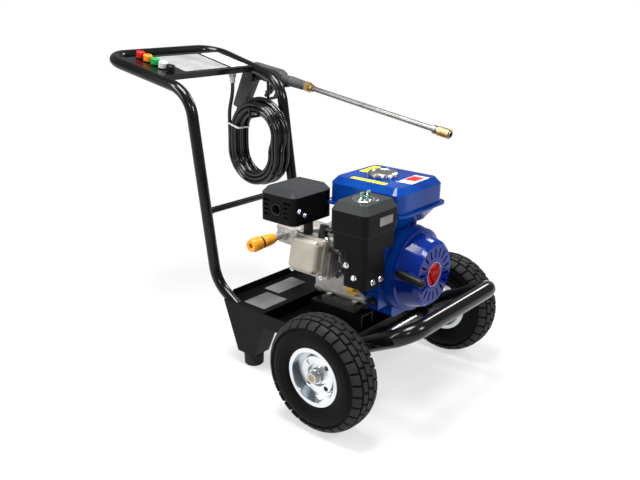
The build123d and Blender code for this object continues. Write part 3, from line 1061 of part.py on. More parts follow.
def climb(k, i):
    """Two arcs down the front run that shift the tube from one layer to the next."""
    radius = (COIL_RUN ** 2 + HOSE_PITCH ** 2) / (4 * HOSE_PITCH)
    half_angle = atan2(half_run, radius - HOSE_PITCH / 2) / 2
    bow = radius * (1 - cos(half_angle))
    reach = radius * sin(half_angle)
    y = coil_y(i, -1)
    between = (layer_x[k] + layer_x[k + 1]) / 2
    hose_arc((layer_x[k] - bow, y, run_high - reach), (between, y, COIL_Z))
    hose_arc((layer_x[k + 1] + bow, y, run_low + reach), (layer_x[k + 1], y, run_low))


outermost = HOSE_TURNS - 1
for i in range(outermost, 0, -1):
    over_the_top(0, i)
    under_the_bottom(0, i, i - 1)
over_the_top(0, 0)
climb(0, 0)
for i in range(outermost):
    under_the_bottom(1, i, i + 1)
    over_the_top(1, i + 1)
climb(1, outermost)
for i in range(outermost, 0, -1):
    under_the_bottom(2, i, i - 1)
    over_the_top(2, i - 1)
climb(2, 0)
for i in range(outermost):
    under_the_bottom(3, i, i + 1)
    if i + 1 < outermost:
        over_the_top(3, i + 1)
hose_line((layer_x[3], coil_y(outermost, 1), run_high + 2 * HOSE_RADIUS))
hose_path = Wire(hose_edges)
hose_section = Plane(origin=hose_path @ 0, z_dir=hose_path % 0) * Circle(HOSE_RADIUS)
pieces["hose_coil"] = sweep(hose_section, path=hose_path)

samples = []
along = 0.0
for edge in hose_edges:
    count = max(2, int(edge.length / 4))
    for n in range(count):
        samples.append((along + edge.length * n / count, edge @ (n / count)))
    along += edge.length
least = 1e9
for a in range(len(samples)):
    for b in range(a + 1, len(samples)):
        if samples[b][0] - samples[a][0] > 60:
            least = min(least, (samples[b][1] - samples[a][1]).length)
print("hose length", round(along), "least gap", round(least - 2 * HOSE_RADIUS, 2))
print("hose volume ratio", round(pieces["hose_coil"].volume / (pi * HOSE_RADIUS ** 2 * along), 4))

# Hose tail: the coil's upper end rises behind it to its fitting under the tool panel
tail_start = Vector(*hose_at[-1])
tail_steps = ((0, 0, 0), (0, 0, 50), (6, -10, 96), (6, -10, 124))
tail_points = [tail_start + Vector(*step) for step in tail_steps]
tail_bends = []
for before, here, after in zip(tail_points, tail_points[1:], tail_points[2:]):
    turn = radians((here - before).get_angle(after - here))
    shorter = min((here - before).length, (after - here).length)
    tail_bends.append(0.45 * shorter / tan(turn / 2))
pieces["hose_tail"] = bent_tube(tail_points, tail_bends, HOSE_RADIUS)
print("tail bend radii", [round(r, 1) for r in tail_bends])
fittings = []
for end, up in ((tail_points[-1], 1), (Vector(*hose_at[0]), -1)):
    ferrule = rod(tuple(end), (end.X, end.Y, end.Z + up * 15), FITTING_RADIUS - 1.5)
    swivel_end = (end.X, end.Y, end.Z + up * FITTING_LENGTH)
    swivel = hexagon((end.X, end.Y, end.Z + up * 15), swivel_end, 2 * FITTING_RADIUS)
    swivel -= rod((end.X, end.Y, end.Z + up * 22), (end.X, end.Y, end.Z + up * 40), 5.5)
    fittings.append(ferrule + swivel)
pieces["hose_fittings"] = Compound(children=fittings)

# Fasteners: axle washers and nuts, and the bolts that hold the engine on its rails
fasteners = []
for sign in (-1, 1):
    start = sign * hub_face
    end = sign * (hub_face + WASHER_HEIGHT)
    washer = rod((start, 0, AXLE_Z), (end, 0, AXLE_Z), WASHER_RADIUS)
    nut = hexagon((end, 0, AXLE_Z), (sign * stub_end, 0, AXLE_Z), AXLE_NUT_SIZE)
    hole = rod((start - sign, 0, AXLE_Z), (sign * (stub_end + 1), 0, AXLE_Z), STUB_RADIUS)
    fasteners.append(washer - hole)
    fasteners.append(nut - hole)
for x, y in bolt_spots:
    bolt = rod((x, y, BASE_Z - RAIL_WALL - 4), (x, y, BASE_Z + BASE_PLATE), BOLT_RADIUS)
    bolt += hexagon((x, y, BASE_Z + BASE_PLATE), (x, y, BASE_Z + BASE_PLATE + 6), 13)
    fasteners.append(bolt + hexagon((x, y, BASE_Z - RAIL_WALL - 7), (x, y, BASE_Z - RAIL_WALL), 13))
pieces["frame_fasteners"] = Compound(children=fasteners)

# Move everything so that the origin is under the middle of the machine, and write the files
os.makedirs("parts", exist_ok=True)
for name, piece in pieces.items():
    export_step(Pos(0, AXLE_Y, 0) * piece, f"parts/{name}.step")
print("origin to axle", round(AXLE_Y, 2), "pieces", len(pieces))
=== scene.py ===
import math
import bmesh
import bpy
import numpy as np
from mathutils import Matrix, Vector


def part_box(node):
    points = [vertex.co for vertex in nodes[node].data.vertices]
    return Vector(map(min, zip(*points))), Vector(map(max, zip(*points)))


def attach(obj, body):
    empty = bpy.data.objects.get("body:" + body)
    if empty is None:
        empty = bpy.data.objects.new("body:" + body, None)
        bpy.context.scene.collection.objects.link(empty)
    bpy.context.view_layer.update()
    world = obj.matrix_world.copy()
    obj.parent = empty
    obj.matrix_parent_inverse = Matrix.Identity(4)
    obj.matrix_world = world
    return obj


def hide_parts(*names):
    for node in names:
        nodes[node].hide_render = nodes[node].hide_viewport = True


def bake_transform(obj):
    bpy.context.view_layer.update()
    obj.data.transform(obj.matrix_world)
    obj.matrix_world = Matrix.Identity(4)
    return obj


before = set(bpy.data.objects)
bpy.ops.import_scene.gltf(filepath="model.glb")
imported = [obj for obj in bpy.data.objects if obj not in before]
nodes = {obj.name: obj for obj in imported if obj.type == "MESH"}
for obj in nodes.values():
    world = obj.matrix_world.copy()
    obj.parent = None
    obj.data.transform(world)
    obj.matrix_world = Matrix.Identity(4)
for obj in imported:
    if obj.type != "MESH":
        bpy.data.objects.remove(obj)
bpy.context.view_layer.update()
scene = bpy.context.scene

# The camera stands in front of the machine on its right, a little over its top. Its place, turn
# and lens come from the tyres, axle and handle as they lie in the photograph.
CAMERA_AT = np.array([-1.3276, -1.2051, 0.9050])
YAW, PITCH, ROLL = np.radians([49.55, 19.54, 0.59])
level = np.array([np.cos(YAW), -np.sin(YAW), 0.0])
ahead = np.array([np.sin(YAW) * np.cos(PITCH), np.cos(YAW) * np.cos(PITCH), -np.sin(PITCH)])
above = np.cross(level, ahead)
right = np.cos(ROLL) * level + np.sin(ROLL) * above
up = -np.sin(ROLL) * level + np.cos(ROLL) * above
lens = bpy.data.cameras.new("camera")
lens.sensor_width = 36.0
lens.lens = 41.61
lens.shift_x = 0.0095
lens.shift_y = 0.0120
camera = bpy.data.objects.new("camera", lens)
scene.collection.objects.link(camera)
turn = np.eye(4)
turn[:3, 0], turn[:3, 1], turn[:3, 2], turn[:3, 3] = right, up, -ahead, CAMERA_AT
camera.matrix_world = Matrix(turn.tolist())
scene.camera = camera
scene.view_settings.view_transform = "Standard"


# A pale studio floor: white far off, with the machine's soft shadow kept round its feet. Every
# mesh and material of the scene is made by the functions of this section.
class Socket:
    """A node socket. Sums, differences and products of sockets add Math nodes."""

    def __init__(self, tree, link=None):
        self.tree = tree
        self.link = link

    def node(self, kind, settings=None, inputs=None, output=0):
        """Adds one node: its settings are set first, then its inputs take values or links."""
        made = self.tree.nodes.new(kind)
        for key, value in (settings or {}).items():
            setattr(made, key, value)
        for key, value in (inputs or {}).items():
            if isinstance(value, Socket):
                self.tree.links.new(value.link, made.inputs[key])
            else:
                made.inputs[key].default_value = value
        return Socket(self.tree, made.outputs[output])

    def math(self, operation, *others):
        """A Math node on this value and the others."""
        return self.node("ShaderNodeMath", {"operation": operation}, dict(enumerate((self, *others))))

    def __add__(self, other):
        return self.math("ADD", other)

    def __sub__(self, other):
        return self.math("SUBTRACT", other)

    def __rsub__(self, other):
        return self.node("ShaderNodeMath", {"operation": "SUBTRACT"}, {0: other, 1: self})

    def __mul__(self, other):
        return self.math("MULTIPLY", other)

    def step(self, low, high):
        """0 below low, 1 over high, smooth between."""
        settings = {"interpolation_type": "SMOOTHSTEP"}
        return self.node("ShaderNodeMapRange", settings, {"Value": self, "From Min": low, "From Max": high})

    def mix(self, low, high):
        """The colour low where this value is 0 and high where it is 1."""
        low = low if isinstance(low, Socket) else (*low, 1.0)
        high = high if isinstance(high, Socket) else (*high, 1.0)
        return self.node("ShaderNodeMix", {"data_type": "RGBA"}, {0: self, 6: low, 7: high}, 2)

    def noise(self, scale, detail=3.0, roughness=0.5, stretch=None):
        """Noise on these coordinates, with a stretch along X, Y and Z."""
        place = self
        if stretch is not None:
            place = self.node("ShaderNodeMapping", {}, {"Vector": self, "Scale": stretch})
        inputs = {"Vector": place, "Scale": scale, "Detail": detail, "Roughness": roughness}
        return self.node("ShaderNodeTexNoise", {}, inputs)

    def part(self, axis):
        """One coordinate, 0 to 2 for X, Y and Z."""
        return self.node("ShaderNodeSeparateXYZ", {}, {0: self}, axis)


def material(name, shade):
    """A Principled material; shade takes the object coordinates and returns its inputs."""
    made = bpy.data.materials.new(name)
    made.use_nodes = True
    tree = made.node_tree
    shader = tree.nodes["Principled BSDF"]
    at = Socket(tree).node("ShaderNodeTexCoord", output=3)
    for key, value in shade(at).items():
        if key == "Bump":
            height, strength, distance = value
            inputs = {"Height": height, "Strength": strength, "Distance": distance}
            value = at.node("ShaderNodeBump", {}, inputs)
            key = "Normal"
        if isinstance(value, Socket):
            tree.links.new(value.link, shader.inputs[key])
        else:
            shader.inputs[key].default_value = (*value, 1.0) if isinstance(value, tuple) else value
    return made


def grid_mesh(name, points, closed_u=False, closed_v=False, smooth=None):
    """Quads over points [u, v, xyz], or over several copies [n, u, v, xyz]; poles and seams are welded."""
    count_u, count_v = points.shape[-3:-1]
    u = np.arange(count_u if closed_u else count_u - 1)
    v = np.arange(count_v if closed_v else count_v - 1)
    u0, v0 = (a.ravel() for a in np.meshgrid(u, v, indexing="ij"))
    u1, v1 = (u0 + 1) % count_u, (v0 + 1) % count_v
    quads = np.stack([u0 * count_v + v0, u1 * count_v + v0, u1 * count_v + v1, u0 * count_v + v1], axis=1)
    copies = points.size // (3 * count_u * count_v)
    quads = (np.arange(copies)[:, None, None] * count_u * count_v + quads).reshape(-1, 4)
    mesh = bpy.data.meshes.new(name)
    mesh.from_pydata(points.reshape(-1, 3).tolist(), [], quads.tolist())
    shape = bmesh.new()
    shape.from_mesh(mesh)
    bmesh.ops.remove_doubles(shape, verts=shape.verts, dist=1e-6)
    bmesh.ops.recalc_face_normals(shape, faces=shape.faces)
    shape.to_mesh(mesh)
    shape.free()
    if smooth is not None:
        mesh.shade_smooth()
        mesh.set_sharp_from_angle(angle=math.radians(smooth))
    made = bpy.data.objects.new(name, mesh)
    scene.collection.objects.link(made)
    return made


FLOOR_HALF = 6.0
FLOOR_DROP = 0.0005
across = np.linspace(-FLOOR_HALF, FLOOR_HALF, 9)
floor_x, floor_y = np.meshgrid(across, across, indexing="ij")
floor = grid_mesh("floor", np.stack([floor_x, floor_y, np.full_like(floor_x, -FLOOR_DROP)], axis=2))


def background_rays(tree):
    """1 for the rays that see the background: from the camera, in gloss and through glass."""
    path = Socket(tree).node("ShaderNodeLightPath").link.node
    seen = Socket(tree, path.outputs["Is Camera Ray"])
    for kind in ("Is Glossy Ray", "Is Transmission Ray"):
        seen = seen + Socket(tree, path.outputs[kind])
    return seen.math("MINIMUM", 1.0)


NEAR_WHITE = 0.6
FADE = (0.6, 1.2)
paper = bpy.data.materials.new("paper")
paper.use_nodes = True
tree = paper.node_tree
place = Socket(tree).node("ShaderNodeTexCoord", output=3)
reach = (place.part(0) * place.part(0) + place.part(1) * place.part(1)).math("SQRT")
glowing = background_rays(tree) * (reach.step(*FADE) * (1.0 - NEAR_WHITE) + NEAR_WHITE)
matt = place.node("ShaderNodeBsdfDiffuse", {}, {"Color": (0.82, 0.82, 0.82, 1.0)})
glow = place.node("ShaderNodeEmission", {}, {"Color": (1.0, 1.0, 1.0, 1.0), "Strength": 1.0})
sheet = place.node("ShaderNodeMixShader", {}, {0: glowing, 1: matt, 2: glow})
tree.links.new(sheet.link, tree.nodes["Material Output"].inputs["Surface"])
floor.data.materials.append(paper)

# Soft studio light: a large panel overhead, a tall one on each side that draws the bright lines on
# the tubes, two small ones in front, and a dim surround that the camera sees as white.
SURROUND = 0.24
world = bpy.data.worlds.new("studio")
world.use_nodes = True
tree = world.node_tree
path = Socket(tree).node("ShaderNodeLightPath").link.node
strength = Socket(tree, path.outputs["Is Camera Ray"]) * (1.0 - SURROUND) + SURROUND
sky = tree.nodes["Background"]
sky.inputs["Color"].default_value = (1.0, 1.0, 1.0, 1.0)
tree.links.new(strength.link, sky.inputs["Strength"])
scene.world = world
PANELS = (
    ("over", (-0.35, -0.05, 2.3), (0.9, 0.9), 64.0),
    ("left", (-1.9, 1.1, 1.5), (0.16, 1.8), 26.0),
    ("right", (2.0, -0.1, 1.8), (0.4, 0.8), 20.0),
    ("front", (0.3, -2.4, 1.9), (0.6, 0.6), 34.0),
    ("camera", (-2.2, -1.7, 2.2), (0.4, 0.4), 12.0),
)
AIM = Vector((0.0, 0.0, 0.35))
for name, place, size, power in PANELS:
    lamp = bpy.data.lights.new(name, "AREA")
    lamp.shape = "RECTANGLE"
    lamp.size, lamp.size_y = size
    lamp.energy = power
    panel = bpy.data.objects.new(name, lamp)
    panel.location = place
    panel.rotation_euler = (AIM - Vector(place)).to_track_quat("-Z", "Y").to_euler()
    panel.visible_camera = False
    scene.collection.objects.link(panel)

# The high pressure hose: smooth black rubber, wound in layers and hung over the hook, with one end
# up under the tool panel and the other hanging free. Its route has the part's own turns and runs.
HOSE_RADIUS = 0.0052
HOSE_PITCH = 0.0113
HOSE_TURNS = 4
MIDDLE_LAYER = 1.5
COIL_AT = np.array([0.118, 0.235, 0.492])
COIL_INNER = 0.0608
HALF_RUN = 0.022
POINTS_A_BEND = 9


def coil_run(layer, turn_out, side):
    """The middle of a straight run: side 1 is behind, -1 in front."""
    x = COIL_AT[0] - (layer - MIDDLE_LAYER) * HOSE_PITCH
    return np.array([x, COIL_AT[1] + side * (COIL_INNER + turn_out * HOSE_PITCH), COIL_AT[2]])


def coil_bend(start, end, rise):
    """Points of a half turn from one run to the next, over the top (rise 1) or underneath (-1)."""
    angle = np.pi * (np.arange(POINTS_A_BEND) + 0.5) / POINTS_A_BEND
    middle = (start + end) / 2
    radius = np.linalg.norm(end - start) / 2
    grown = radius / np.cos(np.pi / POINTS_A_BEND / 2) ** 2
    points = middle + np.outer(np.cos(angle), (start - end) / 2) * (grown / radius)
    points[:, 2] = middle[2] + rise * (HALF_RUN + grown * np.sin(angle))
    return points


route = []
turns = [(0, i) for i in range(HOSE_TURNS - 1, -1, -1)] + [(1, i) for i in range(1, HOSE_TURNS)]
turns += [(2, i) for i in range(HOSE_TURNS - 2, -1, -1)] + [(3, i) for i in range(1, HOSE_TURNS - 1)]
first = coil_run(0, HOSE_TURNS - 1, 1)
route.append(first - [0, 0, HALF_RUN + 8 * HOSE_RADIUS])
route.append(first - [0, 0, HALF_RUN + 4 * HOSE_RADIUS])
after = turns[1:] + [(3, HOSE_TURNS - 1)]
for (layer, out), (next_layer, next_out) in zip(turns, after):
    rear = coil_run(layer, out, 1)
    front = coil_run(layer, out, -1)
    low_front = coil_run(next_layer, out, -1)
    route.extend(coil_bend(rear, front, 1))
    route.extend([front + [0, 0, HALF_RUN / 2], low_front - [0, 0, HALF_RUN / 2]])
    route.extend(coil_bend(low_front, coil_run(next_layer, next_out, 1), -1))
last = coil_run(3, HOSE_TURNS - 1, 1)
tail_from = last + [0, 0, HALF_RUN + 2 * HOSE_RADIUS]
TAIL_STEPS = ((0, 0, 0.012), (0, 0, 0.050), (0.006, -0.010, 0.096), (0.006, -0.010, 0.124))
route.extend([last, tail_from])
route.extend(tail_from + np.array(step) for step in TAIL_STEPS)
hose_line = bpy.data.curves.new("hose", "CURVE")
hose_line.dimensions = "3D"
spline = hose_line.splines.new("NURBS")
spline.points.add(len(route) - 1)
spline.points.foreach_set("co", np.column_stack([np.array(route), np.ones(len(route))]).ravel())
spline.order_u = 3
spline.use_endpoint_u = True
spline.resolution_u = 4
hose_line.bevel_depth = HOSE_RADIUS
hose_line.bevel_resolution = 4
hose_line.use_fill_caps = True
hose = bpy.data.objects.new("hose", hose_line)
scene.collection.objects.link(hose)


def soft_rubber(at):
    """Smooth black rubber: fine grain in its bump, with faint dusty and shiny patches."""
    patches = at.noise(18.0, 4.0)
    grain = at.noise(900.0, 2.0)
    return {
        "Base Color": patches.step(0.35, 0.8).mix((0.004, 0.004, 0.004), (0.009, 0.009, 0.009)),
        "Roughness": patches * 0.12 + 0.1,
        "Specular IOR Level": 0.55,
        "Bump": (grain, 0.02, 0.0004),
    }


hose_rubber = material("hose_rubber", soft_rubber)
hose_line.materials.append(hose_rubber)
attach(hose, "frame")
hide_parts("hose_coil", "hose_tail")

# A white nylon tie, a flat strap pulled tight round the coil and the strand that rises to the panel.
# Plastics share one function, and each mould has left its own sheen and grain.
TIE_TURN = math.radians(14.0)
TIE_WIDTH = 0.0045
TIE_THICK = 0.0012
TIE_CORNER = 0.006
TIE_GAP = 0.0004
STRAND_RADII = 1.6
COIL_OUTER = COIL_INNER + (HOSE_TURNS - 1) * HOSE_PITCH


def rounded_outline(half_u, half_v, corner, steps=6):
    """Points and outward normals round a rectangle with rounded corners, as [n, 2] arrays."""
    angle = np.linspace(0.0, np.pi / 2, steps)
    turn = (angle + np.arange(4)[:, None] * np.pi / 2).ravel()
    normal = np.stack([np.cos(turn), np.sin(turn)], axis=1)
    sign = np.repeat([[1, 1], [-1, 1], [-1, -1], [1, -1]], steps, axis=0)
    return sign * (np.array([half_u, half_v]) - corner) + corner * normal, normal


def band(name, centre, across, along, half_u, half_v, corner, width, thick):
    """A flat strap of the given width bent round a rounded rectangle in the plane of across and along."""
    across, along = np.array(across), np.array(along)
    flat, normal = rounded_outline(half_u, half_v, corner)
    loop = centre + flat @ np.stack([across, along])
    out = normal @ np.stack([across, along])
    side = np.cross(across, along) * width / 2
    inside = np.stack([loop - side, loop + side], axis=1)
    outside = np.stack([loop + side, loop - side], axis=1) + (out * thick)[:, None]
    points = np.concatenate([inside, outside], axis=1)
    return grid_mesh(name, points, closed_u=True, closed_v=True, smooth=30)


outwards = np.array([0.0, math.cos(TIE_TURN), math.sin(TIE_TURN)])
tie_from = COIL_INNER - HOSE_RADIUS - TIE_GAP
tie_to = COIL_OUTER + STRAND_RADII * HOSE_RADIUS
tie_middle = COIL_AT + [0, 0, HALF_RUN] + outwards * (tie_from + tie_to) / 2
tie = band(
    "hose_tie", tie_middle, (1.0, 0.0, 0.0), outwards, MIDDLE_LAYER * HOSE_PITCH + HOSE_RADIUS + TIE_GAP,
    (tie_to - tie_from) / 2, TIE_CORNER, TIE_WIDTH, TIE_THICK,
)


def moulded(dark, pale, rough=0.42, grain_depth=0.2, gloss=0.2):
    """Plastic or rubber: fine grain in the bump, a soft sheen and faint flow marks."""
    def shade(at):
        cloud = at.noise(20.0, 3.0)
        grain = at.noise(700.0, 2.0, 0.6)
        return {
            "Base Color": cloud.step(0.3, 0.75).mix(dark, pale),
            "Roughness": cloud * 0.14 + rough,
            "Specular IOR Level": gloss,
            "Bump": (grain, grain_depth, 0.0005),
        }
    return shade


def finish_piece(piece, finish):
    """Gives a new piece that moves with the frame its material."""
    piece.data.materials.append(finish)
    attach(piece, "frame")


white_plastic = material("white_plastic", moulded((0.62, 0.62, 0.58), (0.74, 0.74, 0.70), 0.28, 0.1))
finish_piece(tie, white_plastic)

# Pneumatic tyres: black rubber with five rows of tread blocks, raised shoulder lugs and a plain
# sidewall, moulded in one piece. They sit on the rims' flanges and roll with them.
TREAD_PITCHES = 30
TREAD_DEPTH = 0.0042
GROOVE = 0.0032
ROW_EDGES = (0.0068, 0.0100, 0.0215, 0.0250, 0.0460)
ROW_PHASES = (0.0, 0.36, 0.72, 0.5, 0.1)
SIDEWALL_FROM = 0.062
BEAD_HALF = 0.0325
BEAD_RADIUS = 0.0668
SHOULDER_RADIUS = 0.099
CROWN_POWER = 2.5
STEPS_A_PITCH = 24
EDGE_SOFT = 0.0005
EDGE_STEP = 0.0006
BLOCK_ROUND = 0.0012
SLANT = 6.0
TREAD_FADE = 0.014
WORN_TO = 0.05
RIDGE = 0.0007
RIDGE_AT = 0.0715
RIDGE_WIDTH = 0.0012
BEAD_STEP = 0.003
CROWN_PLACES = (
    0.0034, 0.0140, 0.0180, 0.0290, 0.0335, 0.0380, 0.0420, 0.0500, 0.0545, 0.0590, 0.0630, 0.0670,
)
WALL_PLACES = (0.0690, 0.0700, 0.0715, 0.0730, 0.0770, 0.0810, 0.0850)


def tyre_section(half_width, outer, across):
    """Outline at arc lengths from the crown: |x/w|^p + |y/h|^p = 1 over the shoulder, then an ellipse."""
    angle = np.linspace(np.pi / 2, 0.0, 400)
    power = 2 / CROWN_POWER
    crown_x = half_width * np.cos(angle) ** power
    crown_r = SHOULDER_RADIUS + (outer - SHOULDER_RADIUS) * np.sin(angle) ** power
    angle = np.linspace(0.0, np.pi / 2, 200)[1:]
    wall_x = BEAD_HALF + (half_width - BEAD_HALF) * np.cos(angle)
    wall_r = SHOULDER_RADIUS - (SHOULDER_RADIUS - BEAD_RADIUS) * np.sin(angle)
    x, r = np.append(crown_x, wall_x), np.append(crown_r, wall_r)
    length = np.append(0.0, np.cumsum(np.hypot(np.diff(x), np.diff(r))))
    away = np.abs(across)
    slope_x = np.gradient(x, length)
    slope_r = np.gradient(r, length)
    sign = np.sign(across)
    normal = np.stack([-np.interp(away, length, slope_r) * sign, np.interp(away, length, slope_x)], axis=1)
    outline = np.stack([np.interp(away, length, x) * sign, np.interp(away, length, r)], axis=1)
    return outline, normal, length[-1]


def smooth_step(value, low, high):
    """0 below low, 1 over high, and 3 t^2 - 2 t^3 between."""
    t = np.clip((value - low) / (high - low), 0.0, 1.0)
    return t * t * (3 - 2 * t)


def tread_height(across, turn, radius):
    """1 on top of a block and 0 in a groove, for each place across the tread and each turn of the wheel."""
    away = np.abs(across)[None, :]
    pitch = 2 * np.pi * radius / TREAD_PITCHES
    height = np.zeros((len(turn), len(across)))
    inner = 0.0
    for row, edge in enumerate(ROW_EDGES[::2]):
        inside = smooth_step(edge + EDGE_SOFT - away, 0.0, 2 * EDGE_SOFT)
        inside = inside * smooth_step(away - inner, -2 * EDGE_SOFT, EDGE_SOFT)
        side_phase = np.where(across < 0, ROW_PHASES[row], ROW_PHASES[-1 - row])[None, :]
        phase = (turn[:, None] * TREAD_PITCHES / (2 * np.pi) + side_phase + SLANT * across[None, :]) % 1.0
        gap = np.minimum(phase, 1.0 - phase) * pitch
        height = np.maximum(height, inside * smooth_step(gap, GROOVE / 2, GROOVE / 2 + BLOCK_ROUND))
        inner = ROW_EDGES[2 * row + 1] if 2 * row + 1 < len(ROW_EDGES) else edge
    return height


def tyre(node, name):
    """A tyre in the place of its CAD solid: the section turned about the axle, with its tread cut in."""
    low, high = (np.array(corner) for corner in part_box(node))
    middle = (low + high) / 2
    outer, half_width = (high[2] - low[2]) / 2, (high[0] - low[0]) / 2 - RIDGE
    edges = np.ravel([[edge - EDGE_STEP, edge + EDGE_STEP] for edge in ROW_EDGES])
    half = np.sort(np.concatenate([edges, CROWN_PLACES, WALL_PLACES]))
    length = tyre_section(half_width, outer, half)[2]
    half = np.append(half, [length - BEAD_STEP, length])
    across = np.concatenate([-half[::-1], [0.0], half])
    outline, normal, _ = tyre_section(half_width, outer, across)
    turn = np.linspace(0.0, 2 * np.pi, TREAD_PITCHES * STEPS_A_PITCH, endpoint=False)
    height = tread_height(across, turn, outer)
    depth = TREAD_DEPTH * smooth_step(SIDEWALL_FROM - np.abs(across), 0.0, TREAD_FADE)
    ridge = RIDGE * np.exp(-((np.abs(across) - RIDGE_AT) / RIDGE_WIDTH) ** 2)
    lift = (height - 1.0) * depth[None, :] + ridge[None, :]
    x = middle[0] + outline[None, :, 0] + lift * normal[None, :, 0]
    r = outline[None, :, 1] + lift * normal[None, :, 1]
    y = middle[1] + r * np.sin(turn)[:, None]
    z = middle[2] + r * np.cos(turn)[:, None]
    made = grid_mesh(name, np.stack([x, y, z], axis=2), closed_u=True, closed_v=True, smooth=38)
    worn = made.data.attributes.new("worn", "FLOAT", "POINT")
    worn.data.foreach_set("value", np.where(np.abs(across)[None, :] < WORN_TO, height, 0.0).ravel())
    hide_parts(node)
    return made


def tyre_rubber(at):
    """Black rubber, greyer where the blocks' tops are scuffed, with fine mould grain."""
    worn = at.node("ShaderNodeAttribute", {"attribute_name": "worn"}, output=2)
    cloud = at.noise(30.0, 4.0, 0.6)
    grain = at.noise(800.0, 3.0, 0.6)
    scuff = worn * (cloud * 0.7 + 0.5)
    return {
        "Base Color": scuff.math("MINIMUM", 1.0).mix((0.0030, 0.0029, 0.0027), (0.0275, 0.0262, 0.0260)),
        "Roughness": cloud * 0.16 + 0.42,
        "Specular IOR Level": 0.08,
        "Bump": (grain, 0.3, 0.0005),
    }


wheel_rubber = material("wheel_rubber", tyre_rubber)
for side in ("left", "right"):
    made = tyre(side + "_tyre", side + "_tread")
    made.data.materials.append(wheel_rubber)
    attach(made, side + "_wheel")


# Pressed steel rims with bright zinc, on a steel axle with zinc yellow nuts. Nuts and bolts, the
# crankshaft and the hose's fittings are plain drawn steel.
def dress(finish, *names):
    """Gives CAD nodes one finish."""
    for name in names:
        for place in nodes[name].material_slots:
            place.material = finish


def plated(dark, pale, rough=0.16, waves=0.03):
    """Bright plating on pressed or turned metal: nearly even, with a few faint clouds."""
    def shade(at):
        cloud = at.noise(14.0, 2.0)
        return {
            "Base Color": cloud.step(0.3, 0.7).mix(dark, pale),
            "Metallic": 1.0,
            "Roughness": cloud * 0.1 + rough,
            "Bump": (at.noise(300.0, 2.0), waves, 0.0003),
        }
    return shade


zinc = material("zinc", plated((0.66, 0.69, 0.72), (0.80, 0.82, 0.83)))
dress(zinc, "left_rim", "right_rim")
LENGTHWISE = (40.0, 1.0, 40.0)
YELLOW_FROM = (0.262, 0.266)


def drawn_steel(at):
    """Drawn or turned steel: faint lines along the piece and small stains."""
    lines = at.noise(60.0, 3.0, 0.6, LENGTHWISE)
    cloud = at.noise(30.0, 4.0)
    stain = (lines * 0.6 + cloud * 0.4).step(0.3, 0.7)
    return {
        "Base Color": stain.mix((0.42, 0.41, 0.40), (0.66, 0.65, 0.63)),
        "Metallic": 1.0,
        "Roughness": lines * 0.14 + cloud * 0.1 + 0.24,
        "Bump": (lines, 0.08, 0.0003),
    }


def axle_steel(at):
    """Steel axle whose outer ends, with the nuts, are yellow zinc."""
    end = at.part(0).math("ABSOLUTE").step(*YELLOW_FROM)
    cloud = at.noise(60.0, 4.0)
    steel = cloud.mix((0.40, 0.39, 0.38), (0.60, 0.59, 0.57))
    yellow = cloud.mix((0.22, 0.20, 0.10), (0.42, 0.38, 0.22))
    return {"Base Color": end.mix(steel, yellow), "Metallic": 1.0, "Roughness": cloud * 0.2 + 0.2}


dress(material("plain_steel", drawn_steel), "frame_fasteners", "crankshaft", "hose_fittings")
dress(material("axle_steel", axle_steel), "axle")


# Black enamel, glossy on the tube frame, bumper and tool panel and duller on the tray and rails:
# baked paint with a little orange peel and small scuffs.
def enamel(deep, pale, rough=0.12, coat=0.12, gloss=0.2):
    """Paint from its deep and pale colour, with peel and scuffs."""
    def shade(at):
        cloud = at.noise(9.0, 4.0)
        peel = at.noise(260.0, 2.0)
        scuff = at.noise(70.0, 5.0, 0.7).step(0.66, 0.74)
        return {
            "Base Color": cloud.step(0.3, 0.75).mix(deep, pale),
            "Roughness": cloud * 0.12 + scuff * 0.2 + rough,
            "Specular IOR Level": gloss,
            "Coat Weight": coat,
            "Coat Roughness": 0.05,
            "Bump": (peel, 0.06, 0.0006),
        }
    return shade


frame_black = enamel((0.0028, 0.0028, 0.0028), (0.006, 0.006, 0.006), 0.12, 0.12, 0.26)
frame_enamel = material("frame_enamel", frame_black)
dress(frame_enamel, "handle_frame", "front_bumper", "tool_panel", "accessory_hooks")
tray_black = enamel((0.0028, 0.0028, 0.0026), (0.006, 0.006, 0.0055), 0.30, 0.03, 0.08)
tray_enamel = material("tray_enamel", tray_black)
dress(tray_enamel, "chassis_tray", "engine_rails")

# Weld beads round the cross bar's ends, under the same enamel: each is a ring with ripples.
BEAD_AT = np.array([0.1468, 0.1423, 0.371])
BEAD_RADII = (0.0085, 0.0022)
RIPPLES = 18
RIPPLE_SHARE = 0.12
turn, swell = np.meshgrid(
    np.linspace(0, 2 * np.pi, 36, False), np.linspace(0, 2 * np.pi, 12, False), indexing="ij",
)
thick = BEAD_RADII[1] * (1.0 + RIPPLE_SHARE * np.cos(RIPPLES * turn))
ring = BEAD_RADII[0] + thick * np.cos(swell)
bead = np.stack([thick * np.sin(swell), ring * np.cos(turn), ring * np.sin(turn)], axis=2)
beads = np.stack([bead + BEAD_AT * [sign, 1, 1] for sign in (-1, 1)])
welds = grid_mesh("cross_bar_welds", beads, closed_u=True, closed_v=True, smooth=60)
finish_piece(welds, frame_enamel)

# Feet under the legs and grommets round the nozzles: soft black rubber, duller than the enamel that
# they sit on.
black_rubber = material("black_rubber", moulded((0.008, 0.008, 0.008), (0.018, 0.018, 0.018), 0.55, 0.35))
dress(black_rubber, "rear_feet", "nozzle_grommets")


# Bare self adhesive plates on the tool panel and on the tray's deck, of thin film with round corners.
# Places along the machine are taken from the axle.
AXLE_Y = (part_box("left_tyre")[0][1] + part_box("left_tyre")[1][1]) / 2


